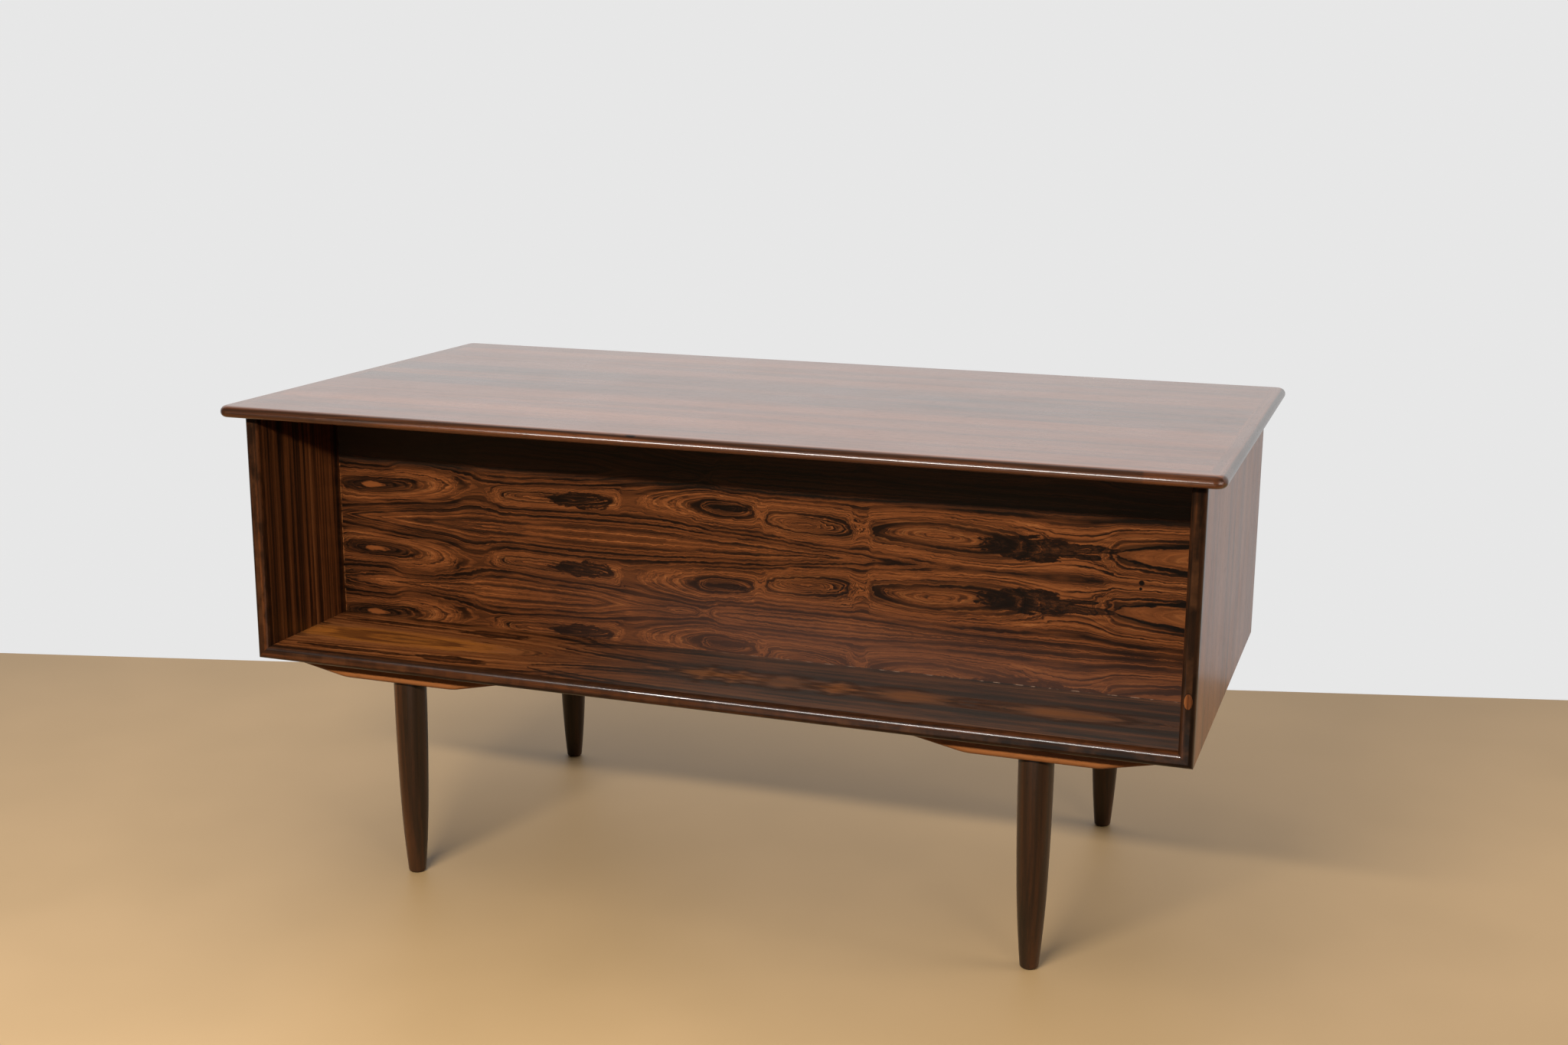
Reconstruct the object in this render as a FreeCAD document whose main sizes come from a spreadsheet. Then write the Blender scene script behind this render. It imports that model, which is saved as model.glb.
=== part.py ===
import FreeCAD, Part
import math
import os
import re
import Sketcher

# Free-standing desk with two drawer pedestals and an open niche on the visitor's side.
# The origin lies on the floor under the middle of the top. X runs along the desk, +Y points to the
# person who sits at it and +Z is up, so the niche faces -Y and the drawers open towards +Y.

PEDESTALS = {"left": -1, "right": 1}
ROWS = ("lower", "middle", "upper")
TAILS = 3

SIZES = {
    # whole desk
    "overall_height": 732,
    "case_width": 1400,
    "case_depth": 681,
    "case_underside": 342,
    "panel_thickness": 20,
    # top
    "top_thickness": 17,
    "top_overhang_side": 26,
    "top_overhang_visitor": 30,
    "top_overhang_user": 53,
    "top_corner_radius": 16,
    "top_nose_flat": 0.4,
    "top_crest_share": 0.55,
    "top_lipping_width": 24,
    # niche on the visitor's side
    "niche_depth": 215,
    "niche_back_thickness": 12,
    "niche_lipping_depth": 14,
    "niche_lipping_roll": 7,
    # oval plug in the right niche lipping
    "plug_width": 12,
    "plug_height": 23,
    "plug_depth": 6,
    "plug_rise": 91,
    # pedestals
    "pedestal_width": 434,
    "wall_thickness": 18,
    "user_lipping_depth": 8,
    "user_lipping_roll": 2.5,
    # legs
    "leg_inset_visitor": 75.5,
    "leg_inset_user": 46.5,
    "leg_top_diameter": 49,
    "leg_belly_narrowing": 6,
    "leg_belly_height": 132,
    "foot_diameter": 26.5,
    "foot_roll": 4.5,
    # cleats between legs and case
    "cleat_length": 366,
    "cleat_width": 76,
    "cleat_thickness": 29,
    "cleat_flat_length": 184,
    "cleat_end_thickness": 10,
    "cleat_sweep_radius": 90,
    "cleat_edge_roll": 8,
    # bolts and screws
    "bolt_diameter": 10,
    "bolt_depth_leg": 38,
    "bolt_cover": 9,
    "bore_clearance": 0.2,
    "screw_spacing": 130,
    "screw_diameter": 4.5,
    "screw_head_diameter": 9,
    "screw_grip": 12,
    # drawers
    "drawer_gap": 3,
    "drawer_side_gap": 2,
    "drawer_front_recess": 4,
    "drawer_front_thickness": 20,
    "drawer_front_roll": 2,
    "drawer_side_thickness": 12,
    "drawer_side_rise": 8,
    "drawer_side_drop": 16,
    "drawer_rear_space": 12,
    "drawer_bottom_thickness": 5,
    "drawer_groove_depth": 5,
    "drawer_back_thickness": 10,
    "drawer_back_inset": 8,
    "drawer_back_drop": 6,
    "drawer_dado_depth": 4,
    "fit_clearance": 0.3,
    # dovetails between drawer sides and front
    "pin_width": 10,
    "tail_flare": 2.2,
    "tail_lap": 7,
    # drawer runners
    "runner_height": 12,
    "runner_reach": 5,
    "runner_stop": 16,
    # turned knobs
    "knob_length": 25,
    "knob_face_diameter": 34,
    "knob_neck_diameter": 17,
    "knob_rim_height": 5,
    "knob_rim_width": 5,
    "knob_rim_roll": 1.6,
    "knob_dish": 1.5,
    "knob_tenon_diameter": 10,
    "knob_tenon_length": 12,
}

# Places and sizes that follow from the driving dimensions.
LAYOUT = {
    "top_underside": "overall_height - top_thickness",
    "top_length": "case_width + 2 * top_overhang_side",
    "top_depth": "case_depth + top_overhang_visitor + top_overhang_user",
    "top_upper_roll": "top_crest_share * (top_thickness - top_nose_flat)",
    "top_lower_roll": "top_thickness - top_nose_flat - top_upper_roll",
    "case_half": "case_width / 2",
    "case_height": "top_underside - case_underside",
    "visitor_plane": "(top_overhang_visitor - top_overhang_user - case_depth) / 2",
    "user_plane": "visitor_plane + case_depth",
    "floor_top": "case_underside + panel_thickness",
    "niche_height": "top_underside - floor_top",
    "niche_back_plane": "visitor_plane + niche_depth",
    "bay_rear": "niche_back_plane + niche_back_thickness",
    "bay_depth": "user_plane - bay_rear",
    "bay_width": "pedestal_width - panel_thickness - wall_thickness",
    "bay_centre": "case_half - panel_thickness - bay_width / 2",
    "kneehole_half": "case_half - pedestal_width",
    "leg_x": "case_half - pedestal_width / 2",
    "leg_y_visitor": "visitor_plane + leg_inset_visitor",
    "leg_y_user": "user_plane - leg_inset_user",
    "leg_length": "case_underside - cleat_thickness",
    "leg_belly_diameter": "leg_top_diameter - leg_belly_narrowing",
    "bolt_depth_cleat": "cleat_thickness - bolt_cover",
    "bore_diameter": "bolt_diameter + 2 * bore_clearance",
    "screw_bore": "screw_diameter + 2 * bore_clearance",
    "screw_head_height": "(screw_head_diameter - screw_diameter) / 2",
    "front_width": "bay_width - 2 * drawer_side_gap",
    "front_height": f"(niche_height - drawer_gap) / {len(ROWS)} - drawer_gap",
    "front_plane": "user_plane - drawer_front_recess",
    "side_length": "bay_depth - drawer_front_recess - drawer_front_thickness - drawer_rear_space",
    "side_inner": "front_width / 2 - drawer_side_thickness",
    "side_height": "front_height - drawer_side_rise - drawer_side_drop",
    "side_top": "drawer_side_rise + side_height",
    "shoulder": "-drawer_front_thickness",
    "drawer_rear": "shoulder - side_length",
    "tail_pitch": f"side_height / {TAILS}",
    "tail_wide": "tail_pitch - pin_width",
    "tail_narrow": "tail_wide - 2 * tail_flare",
    "bottom_slot": "drawer_bottom_thickness + 2 * fit_clearance",
    "bottom_low": "drawer_side_rise + (tail_pitch - bottom_slot) / 2",
    "bottom_top": "bottom_low + fit_clearance + drawer_bottom_thickness",
    "back_rear": "drawer_rear + drawer_back_inset",
    "slot_height": "runner_height + 2 * fit_clearance",
    "slot_low": "drawer_side_rise + (side_height - slot_height) / 2",
    "slot_depth": "runner_reach + fit_clearance",
    "slot_front": "shoulder - runner_stop",
    "runner_length": "bay_depth + slot_front - drawer_front_recess - fit_clearance",
    "knob_height": "front_height / 2",
}

doc = FreeCAD.newDocument("desk")
pieces = []


def formula(text, own_sheet=""):
    """Expression text in which every named size points at its sheet."""

    def point(match):
        word = match.group(0)
        if word in SIZES:
            return f"Sizes.{word}"
        if word in LAYOUT and own_sheet != "Layout":
            return f"Layout.{word}"
        return word

    return re.sub(r"[a-z][a-z_]*", point, text)


def fill_sheet(name, cells):
    """Sheet with one aliased cell for each entry."""
    sheet = doc.addObject("Spreadsheet::Sheet", name)
    for row, (alias, content) in enumerate(cells.items(), start=1):
        sheet.set(f"A{row}", alias)
        sheet.set(f"B{row}", content)
        sheet.setAlias(f"B{row}", alias)
    doc.recompute()
    return sheet


sizes = fill_sheet("Sizes", {alias: str(number) for alias, number in SIZES.items()})
layout = fill_sheet("Layout", {alias: "=" + formula(text, "Layout") for alias, text in LAYOUT.items()})


def number(alias):
    """Present value of a named size or place."""
    sheet = sizes if alias in SIZES else layout
    return float(getattr(sheet, alias))


def bind(item, setting, text):
    item.setExpression(setting, formula(text))


def place(item, x="0", y="0", z="0"):
    for axis, text in zip("xyz", (x, y, z)):
        bind(item, f"Placement.Base.{axis}", text)


def keep(item):
    """Hand a finished sub-part in under its own name."""
    pieces.append(item)
    return item


def board(name, low, extent):
    """Plain board with its lowest corner and its extent along X, Y and Z."""
    box = doc.addObject("Part::Box", name)
    for setting, text in zip(("Length", "Width", "Height"), extent):
        bind(box, setting, text)
    place(box, *low)
    return box


def group(name, members):
    """Several loose solids that share one node."""
    compound = doc.addObject("Part::Compound", name)
    compound.Links = members
    return compound


def new_body(name):
    return doc.addObject("PartDesign::Body", name)


def origin_plane(body, role):
    return next(item for item in body.Origin.OriginFeatures if item.Role == role)


def sketch_on(body, role, name, raised="0"):
    """Empty sketch on one of the body's own origin planes, raised along its normal."""
    sketch = body.newObject("Sketcher::SketchObject", f"{body.Name}_{name}")
    sketch.AttachmentSupport = (origin_plane(body, role), [""])
    sketch.MapMode = "FlatFace"
    bind(sketch, "AttachmentOffset.Base.z", raised)
    return sketch


def hold(sketch, kind, edge, point, text):
    """Distance of a point from the sketch's origin, along one axis."""
    drawn = sketch.getPoint(edge, point)
    start = drawn.x if kind == "DistanceX" else drawn.y
    row = sketch.addConstraint(Sketcher.Constraint(kind, -1, 1, edge, point, start))
    bind(sketch, f"Constraints[{row}]", text)


def outline(sketch, corners):
    """Closed straight-sided outline whose corners are pairs of formulas."""
    first = sketch.GeometryCount
    count = len(corners)
    turns = [2 * math.pi * index / count for index in range(count)]
    start = [FreeCAD.Vector(math.cos(turn), math.sin(turn), 0) for turn in turns]
    for index in range(count):
        sketch.addGeometry(Part.LineSegment(start[index], start[(index + 1) % count]), False)
    for index in range(count):
        following = first + (index + 1) % count
        sketch.addConstraint(Sketcher.Constraint("Coincident", first + index, 2, following, 1))
    for index, (across, up) in enumerate(corners):
        hold(sketch, "DistanceX", first + index, 1, across)
        hold(sketch, "DistanceY", first + index, 1, up)
    return sketch


def rectangle(sketch, left, low, right, high):
    return outline(sketch, [(left, low), (right, low), (right, high), (left, high)])


def circle(sketch, across, up, diameter):
    """Circle with a bound centre and diameter."""
    edge = sketch.addGeometry(Part.Circle(FreeCAD.Vector(0, 0, 0), FreeCAD.Vector(0, 0, 1), 1), False)
    hold(sketch, "DistanceX", edge, 3, across)
    hold(sketch, "DistanceY", edge, 3, up)
    row = sketch.addConstraint(Sketcher.Constraint("Diameter", edge, 1.0))
    bind(sketch, f"Constraints[{row}]", diameter)


def pad(body, sketch, length, backwards=False):
    feature = body.newObject("PartDesign::Pad", f"{sketch.Name}_pad")
    feature.Profile = sketch
    feature.Reversed = backwards
    bind(feature, "Length", length)
    return feature


def pocket(body, sketch, depth, backwards=False):
    """Cut of a given depth; it has to take material away."""
    doc.recompute()
    before = body.Shape.Volume
    feature = body.newObject("PartDesign::Pocket", f"{sketch.Name}_pocket")
    feature.Profile = sketch
    feature.Reversed = backwards
    bind(feature, "Length", depth)
    doc.recompute()
    if body.Shape.Volume >= before:
        raise ValueError(f"{feature.Name} cuts nothing")
    return feature


def revolve(body, sketch):
    feature = body.newObject("PartDesign::Revolution", f"{sketch.Name}_turned")
    feature.Profile = sketch
    feature.ReferenceAxis = (sketch, ["V_Axis"])
    feature.Angle = 360
    return feature


def dress(kind, setting, body, base, wanted, text):
    """Fillet or chamfer on the edges of the body that pass a test."""
    doc.recompute()
    names = [f"Edge{row}" for row, edge in enumerate(base.Shape.Edges, start=1) if wanted(edge)]
    feature = body.newObject(f"PartDesign::{kind}", f"{base.Name}_{kind.lower()}")
    feature.Base = (base, names)
    bind(feature, setting, text)
    return feature


def fillet(body, base, wanted, radius):
    return dress("Fillet", "Radius", body, base, wanted, radius)


def chamfer(body, base, wanted, width):
    return dress("Chamfer", "Size", body, base, wanted, width)


def near(one, other):
    return abs(one - other) < 1e-4


def lies_at(edge, axis, level):
    """True for an edge whose ends and middle all lie at one level of an axis."""
    low, high = edge.ParameterRange
    points = [edge.valueAt(low), edge.valueAt((low + high) / 2), edge.valueAt(high)]
    return all(near(getattr(point, axis), level) for point in points)


def runs_along(edge, axis):
    """True for a straight edge parallel to an axis."""
    if edge.Curve.TypeId != "Part::GeomLine":
        return False
    return near(abs(getattr(edge.Curve.Direction, axis)), 1)


def minus(text):
    return f"-({text})"


def common(name, base, tool):
    feature = doc.addObject("Part::Common", name)
    feature.Base = base
    feature.Tool = tool
    return feature


def make_top():
    """Veneered panel in four mitred lippings, moulded together to one rounded nose."""
    blank = new_body("top_blank")
    sketch = sketch_on(blank, "XY_Plane", "outline", "top_underside")
    half_length = "top_length / 2"
    half_depth = "top_depth / 2"
    rectangle(sketch, minus(half_length), minus(half_depth), half_length, half_depth)
    slab = pad(blank, sketch, "top_thickness")
    rounded = fillet(blank, slab, lambda edge: runs_along(edge, "z"), "top_corner_radius")
    upper_level = number("overall_height")
    lower_level = number("top_underside")
    upper = fillet(blank, rounded, lambda edge: lies_at(edge, "z", upper_level), "top_upper_roll")
    fillet(blank, upper, lambda edge: lies_at(edge, "z", lower_level), "top_lower_roll")

    inner_length = "(top_length / 2 - top_lipping_width)"
    inner_depth = "(top_depth / 2 - top_lipping_width)"
    core_low = (minus(inner_length), minus(inner_depth), "top_underside")
    core = board("top_core", core_low, (f"2 * {inner_length}", f"2 * {inner_depth}", "top_thickness"))
    keep(common("top_panel", blank, core))

    outer = [("-1", "-1"), ("1", "-1"), ("1", "1"), ("-1", "1")]
    for index, side in enumerate(("visitor", "right", "user", "left")):
        first = outer[index]
        last = outer[(index + 1) % len(outer)]
        mitred = [
            (f"{first[0]} * {half_length}", f"{first[1]} * {half_depth}"),
            (f"{last[0]} * {half_length}", f"{last[1]} * {half_depth}"),
            (f"{last[0]} * {inner_length}", f"{last[1]} * {inner_depth}"),
            (f"{first[0]} * {inner_length}", f"{first[1]} * {inner_depth}"),
        ]
        stick = new_body(f"top_stick_{side}")
        pad(stick, outline(sketch_on(stick, "XY_Plane", "plan", "top_underside"), mitred), "top_thickness")
        keep(common(f"top_lipping_{side}", blank, stick))


def make_lipping(name, corners, long_axis, user_side=False):
    """Solid edge strip on the visitor's or the user's edge, with its two outer long edges rolled."""
    edge_kind = "user" if user_side else "niche"
    outer_plane = "user_plane" if user_side else "visitor_plane"
    depth = f"{edge_kind}_lipping_depth"
    inner_plane = f"{outer_plane} - {depth}" if user_side else f"{outer_plane} + {depth}"
    body = new_body(name)
    sketch = outline(sketch_on(body, "XZ_Plane", "face", minus(inner_plane)), corners)
    strip = pad(body, sketch, depth, backwards=user_side)
    level = number(outer_plane)

    def outer_long_edge(edge):
        return lies_at(edge, "y", level) and runs_along(edge, long_axis)

    wall = "min(panel_thickness; wall_thickness)"
    roll = f"min({edge_kind}_lipping_roll; 0.45 * {wall}; 0.9 * {depth})"
    fillet(body, strip, outer_long_edge, roll)
    return body


def plug_in(name, strip):
    """Lipping with an oval plug let into its face, flush with the rolled edges."""
    oval = new_body("plug_cutter")
    sketch = sketch_on(oval, "XZ_Plane", "face", minus("visitor_plane + plug_depth"))
    middle = FreeCAD.Vector(0, 0, 0)
    ellipse = Part.Ellipse(middle, number("plug_height") / 2, number("plug_width") / 2)
    edge = sketch.addGeometry(ellipse, False)
    sketch.exposeInternalGeometry(edge)
    long_axis = edge + 1
    short_axis = edge + 2
    sketch.addConstraint(Sketcher.Constraint("Vertical", long_axis))
    for axis, length in ((long_axis, "plug_height"), (short_axis, "plug_width")):
        row = sketch.addConstraint(Sketcher.Constraint("Distance", axis, number(length)))
        bind(sketch, f"Constraints[{row}]", length)
    hold(sketch, "DistanceX", edge, 3, "case_half - panel_thickness / 2")
    hold(sketch, "DistanceY", edge, 3, "case_underside + plug_rise")
    pad(oval, sketch, "plug_depth")
    keep(common("lipping_plug", strip, oval))
    pierced = doc.addObject("Part::Cut", name)
    pierced.Base = strip
    pierced.Tool = oval
    keep(pierced)


def make_case_sides():
    """Outer case walls with grain upright, each with a mitred lipping round the niche."""
    depth = "case_depth - niche_lipping_depth - user_lipping_depth"
    inner = "(case_half - panel_thickness)"
    for side, hand in PEDESTALS.items():
        low_x = minus("case_half") if hand < 0 else inner
        low = (low_x, "visitor_plane + niche_lipping_depth", "case_underside")
        keep(board(f"{side}_case_side", low, ("panel_thickness", depth, "case_height")))
        corners = [
            (f"{hand} * case_half", "case_underside"),
            (f"{hand} * {inner}", "floor_top"),
            (f"{hand} * {inner}", "top_underside"),
            (f"{hand} * case_half", "top_underside"),
        ]
        if hand < 0:
            keep(make_lipping(f"{side}_niche_lipping", corners, "z"))
        else:
            plug_in(f"{side}_niche_lipping", make_lipping(f"{side}_niche_strip", corners, "z"))


def make_floor(name, low, extent, screw_places):
    """Case floor with blind holes for the cleat screws in its underside."""
    body = new_body(name)
    sketch = sketch_on(body, "XY_Plane", "plan", "case_underside")
    rectangle(sketch, low[0], low[1], f"{low[0]} + {extent[0]}", f"{low[1]} + {extent[1]}")
    pad(body, sketch, "panel_thickness")
    holes = sketch_on(body, "XY_Plane", "holes", "case_underside")
    for across, along in screw_places:
        circle(holes, across, along, "screw_bore")
    pocket(body, holes, "screw_grip + bore_clearance", backwards=True)
    return body


def screw_pair(hand, leg_y):
    """Plan places of the two screws in one cleat."""
    return [(f"{hand} * leg_x + {end} * screw_spacing / 2", leg_y) for end in (-1, 1)]


def make_niche():
    """Floor, floor lipping and figured back of the open niche."""
    inner = "(case_half - panel_thickness)"
    low = (minus(inner), "visitor_plane + niche_lipping_depth")
    extent = (f"2 * {inner}", "niche_depth + niche_back_thickness - niche_lipping_depth")
    places = screw_pair(-1, "leg_y_visitor") + screw_pair(1, "leg_y_visitor")
    keep(make_floor("niche_floor", low, extent, places))
    corners = [
        ("-case_half", "case_underside"),
        ("case_half", "case_underside"),
        (inner, "floor_top"),
        (minus(inner), "floor_top"),
    ]
    keep(make_lipping("niche_floor_lipping", corners, "x"))
    back_extent = (f"2 * {inner}", "niche_back_thickness", "niche_height")
    keep(board("niche_back", (minus(inner), "niche_back_plane", "floor_top"), back_extent))


def make_pedestal(side, hand):
    """Kneehole wall, floor and user's edge lippings of one pedestal."""
    depth = "bay_depth - user_lipping_depth"
    bay_low = "bay_centre - bay_width / 2" if hand > 0 else "-bay_centre - bay_width / 2"
    bay_high = f"{bay_low} + bay_width"
    wall_low = "kneehole_half" if hand > 0 else "-kneehole_half - wall_thickness"
    wall_extent = ("wall_thickness", depth, "case_height")
    keep(board(f"{side}_kneehole_wall", (wall_low, "bay_rear", "case_underside"), wall_extent))
    screws = screw_pair(hand, "leg_y_user")
    keep(make_floor(f"{side}_pedestal_floor", (bay_low, "bay_rear"), ("bay_width", depth), screws))
    side_low = "case_half - panel_thickness" if hand > 0 else "-case_half"
    strips = []
    uprights = {"outer": (side_low, "panel_thickness"), "inner": (wall_low, "wall_thickness")}
    for which, (low, width) in uprights.items():
        high = f"{low} + {width}"
        corners = [
            (low, "case_underside"),
            (high, "case_underside"),
            (high, "top_underside"),
            (low, "top_underside"),
        ]
        strips.append(make_lipping(f"{side}_user_lipping_{which}", corners, "z", user_side=True))
    corners = [
        (bay_low, "case_underside"),
        (bay_high, "case_underside"),
        (bay_high, "floor_top"),
        (bay_low, "floor_top"),
    ]
    strips.append(make_lipping(f"{side}_user_lipping_floor", corners, "x", user_side=True))
    keep(group(f"{side}_user_lippings", strips))


def make_cleat(name, leg_x, leg_y):
    """Boat-shaped block under the case: flat in the middle and swept up to thin ends."""
    body = new_body(name)
    place(body, leg_x, leg_y, "case_underside")
    half = "cleat_length / 2"
    flat = "cleat_flat_length / 2"
    sketch = sketch_on(body, "XZ_Plane", "profile", "-cleat_width / 2")
    corners = [
        (minus(half), "0"),
        (minus(half), "-cleat_end_thickness"),
        (minus(flat), "-cleat_thickness"),
        (flat, "-cleat_thickness"),
        (half, "-cleat_end_thickness"),
        (half, "0"),
    ]
    block = pad(body, outline(sketch, corners), "cleat_width")
    underside = -number("cleat_thickness")
    knuckle = fillet(
        body,
        block,
        lambda edge: runs_along(edge, "y") and lies_at(edge, "z", underside),
        "cleat_sweep_radius",
    )
    half_width = number("cleat_width") / 2
    end = number("cleat_length") / 2

    def lower_long_edge(edge):
        on_a_face = lies_at(edge, "y", -half_width) or lies_at(edge, "y", half_width)
        at_an_end = lies_at(edge, "x", -end) or lies_at(edge, "x", end)
        return on_a_face and not at_an_end and not lies_at(edge, "z", 0)

    fillet(body, knuckle, lower_long_edge, "min(cleat_edge_roll; 0.9 * cleat_end_thickness)")
    bolt_hole = sketch_on(body, "XY_Plane", "bolt_hole", "-cleat_thickness")
    circle(bolt_hole, "0", "0", "bore_diameter")
    pocket(body, bolt_hole, "bolt_depth_cleat + bore_clearance", backwards=True)
    screw_holes = sketch_on(body, "XY_Plane", "screw_holes", "-cleat_thickness")
    for end_sign in (-1, 1):
        circle(screw_holes, f"{end_sign} * screw_spacing / 2", "0", "screw_bore")
    drilled = pocket(body, screw_holes, "cleat_thickness", backwards=True)
    bore_radius = number("screw_bore") / 2

    def screw_mouth(edge):
        round_edge = edge.Curve.TypeId == "Part::GeomCircle" and near(edge.Curve.Radius, bore_radius)
        return round_edge and lies_at(edge, "z", underside)

    chamfer(body, drilled, screw_mouth, "screw_head_height")
    return body


def arc(centre, start, end):
    """Arc of a circle, anticlockwise from start to end."""
    round_line = Part.Circle(centre, FreeCAD.Vector(0, 0, 1), (start - centre).Length)
    return Part.ArcOfCircle(round_line, round_line.parameter(start), round_line.parameter(end))


def leg_profile(sketch):
    """Half section of a leg: rounded foot, two tangent arcs up to the cleat, and the bolt's bore."""
    roll = number("foot_roll")
    top = FreeCAD.Vector(number("leg_top_diameter") / 2, number("leg_length"), 0)
    belly = FreeCAD.Vector(number("leg_belly_diameter") / 2, number("leg_belly_height"), 0)
    foot_centre = FreeCAD.Vector(number("foot_diameter") / 2 - roll, roll, 0)
    foot_low = foot_centre - FreeCAD.Vector(0, roll, 0)
    rise = top - belly
    upper_radius = rise.Length ** 2 / (2 * rise.x)
    upper_centre = top - FreeCAD.Vector(upper_radius, 0, 0)
    inward = (upper_centre - belly).normalize()
    run = foot_centre - belly
    lower_radius = (run.Length ** 2 - roll ** 2) / (2 * (run.dot(inward) - roll))
    lower_centre = belly + inward * lower_radius
    foot_high = foot_centre + (foot_centre - lower_centre).normalize() * roll
    mouth = FreeCAD.Vector(number("bore_diameter") / 2, top.y, 0)
    bore_end = mouth - FreeCAD.Vector(0, number("bolt_depth_leg"), 0)
    axis_high = FreeCAD.Vector(0, bore_end.y, 0)
    axis_low = FreeCAD.Vector(0, 0, 0)

    def draw(shape):
        return sketch.addGeometry(shape, False)

    sole = draw(Part.LineSegment(axis_low, foot_low))
    foot = draw(arc(foot_centre, foot_low, foot_high))
    lower = draw(arc(lower_centre, foot_high, belly))
    upper = draw(arc(upper_centre, belly, top))
    shoulder = draw(Part.LineSegment(top, mouth))
    bore = draw(Part.LineSegment(mouth, bore_end))
    bore_floor = draw(Part.LineSegment(bore_end, axis_high))
    axis = draw(Part.LineSegment(axis_high, axis_low))
    for one, following in ((sole, foot), (foot, lower), (lower, upper)):
        sketch.addConstraint(Sketcher.Constraint("Tangent", one, 2, following, 1))
    corners = [(upper, shoulder), (shoulder, bore), (bore, bore_floor), (bore_floor, axis), (axis, sole)]
    for one, following in corners:
        sketch.addConstraint(Sketcher.Constraint("Coincident", one, 2, following, 1))
    sketch.addConstraint(Sketcher.Constraint("Coincident", sole, 1, -1, 1))
    sketch.addConstraint(Sketcher.Constraint("Horizontal", upper, 3, upper, 2))
    for level_line in (sole, shoulder, bore_floor):
        sketch.addConstraint(Sketcher.Constraint("Horizontal", level_line))
    for upright in (bore, axis):
        sketch.addConstraint(Sketcher.Constraint("Vertical", upright))
    row = sketch.addConstraint(Sketcher.Constraint("Radius", foot, roll))
    bind(sketch, f"Constraints[{row}]", "foot_roll")
    hold(sketch, "DistanceX", foot, 3, "foot_diameter / 2 - foot_roll")
    hold(sketch, "DistanceX", upper, 1, "leg_belly_diameter / 2")
    hold(sketch, "DistanceY", upper, 1, "leg_belly_height")
    hold(sketch, "DistanceX", upper, 2, "leg_top_diameter / 2")
    hold(sketch, "DistanceY", upper, 2, "leg_length")
    hold(sketch, "DistanceX", bore, 1, "bore_diameter / 2")
    hold(sketch, "DistanceY", bore, 2, "leg_length - bolt_depth_leg - bore_clearance")


def make_leg(name, leg_x, leg_y):
    """Turned leg with a slight belly, a rounded foot and a blind bore for its bolt."""
    body = new_body(name)
    place(body, leg_x, leg_y)
    sketch = sketch_on(body, "XZ_Plane", "half_section")
    leg_profile(sketch)
    revolve(body, sketch)
    return body


def make_screw(name, across, along):
    """Countersunk screw, head down, from the cleat into the floor."""
    body = new_body(name)
    place(body, across, along, "leg_length")
    profile = [
        ("0", "0"),
        ("screw_head_diameter / 2", "0"),
        ("screw_diameter / 2", "screw_head_height"),
        ("screw_diameter / 2", "cleat_thickness + screw_grip"),
        ("0", "cleat_thickness + screw_grip"),
    ]
    revolve(body, outline(sketch_on(body, "XZ_Plane", "half_section"), profile))
    return body


def make_bolt(name, leg_x, leg_y):
    """Stud that draws a leg against its cleat."""
    stud = doc.addObject("Part::Cylinder", name)
    bind(stud, "Radius", "bolt_diameter / 2")
    bind(stud, "Height", "bolt_depth_leg + bolt_depth_cleat")
    place(stud, leg_x, leg_y, "leg_length - bolt_depth_leg")
    return stud


def make_undercarriage():
    """Four legs on four cleats, with their bolts and screws."""
    bolts = []
    screws = []
    for end in ("visitor", "user"):
        for side, hand in PEDESTALS.items():
            where = f"{end}_{side}"
            leg_x = f"{hand} * leg_x"
            leg_y = f"leg_y_{end}"
            keep(make_cleat(f"{where}_cleat", leg_x, leg_y))
            keep(make_leg(f"{where}_leg", leg_x, leg_y))
            bolts.append(make_bolt(f"{where}_bolt", leg_x, leg_y))
            for row, (across, along) in enumerate(screw_pair(hand, leg_y), start=1):
                screws.append(make_screw(f"{where}_screw_{'ab'[row - 1]}", across, along))
    keep(group("leg_bolts", bolts))
    keep(group("cleat_screws", screws))


def draw_tails(sketch):
    """Dovetails that flare from the shoulder of a drawer side into the lap of its front."""
    for row in range(TAILS):
        middle = f"drawer_side_rise + ({row} + 0.5) * tail_pitch"
        narrow = "tail_narrow / 2"
        wide = "tail_wide / 2"
        outline(
            sketch,
            [
                ("shoulder", f"{middle} - {narrow}"),
                ("-tail_lap", f"{middle} - {wide}"),
                ("-tail_lap", f"{middle} + {wide}"),
                ("shoulder", f"{middle} + {narrow}"),
            ],
        )
    return sketch


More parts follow.
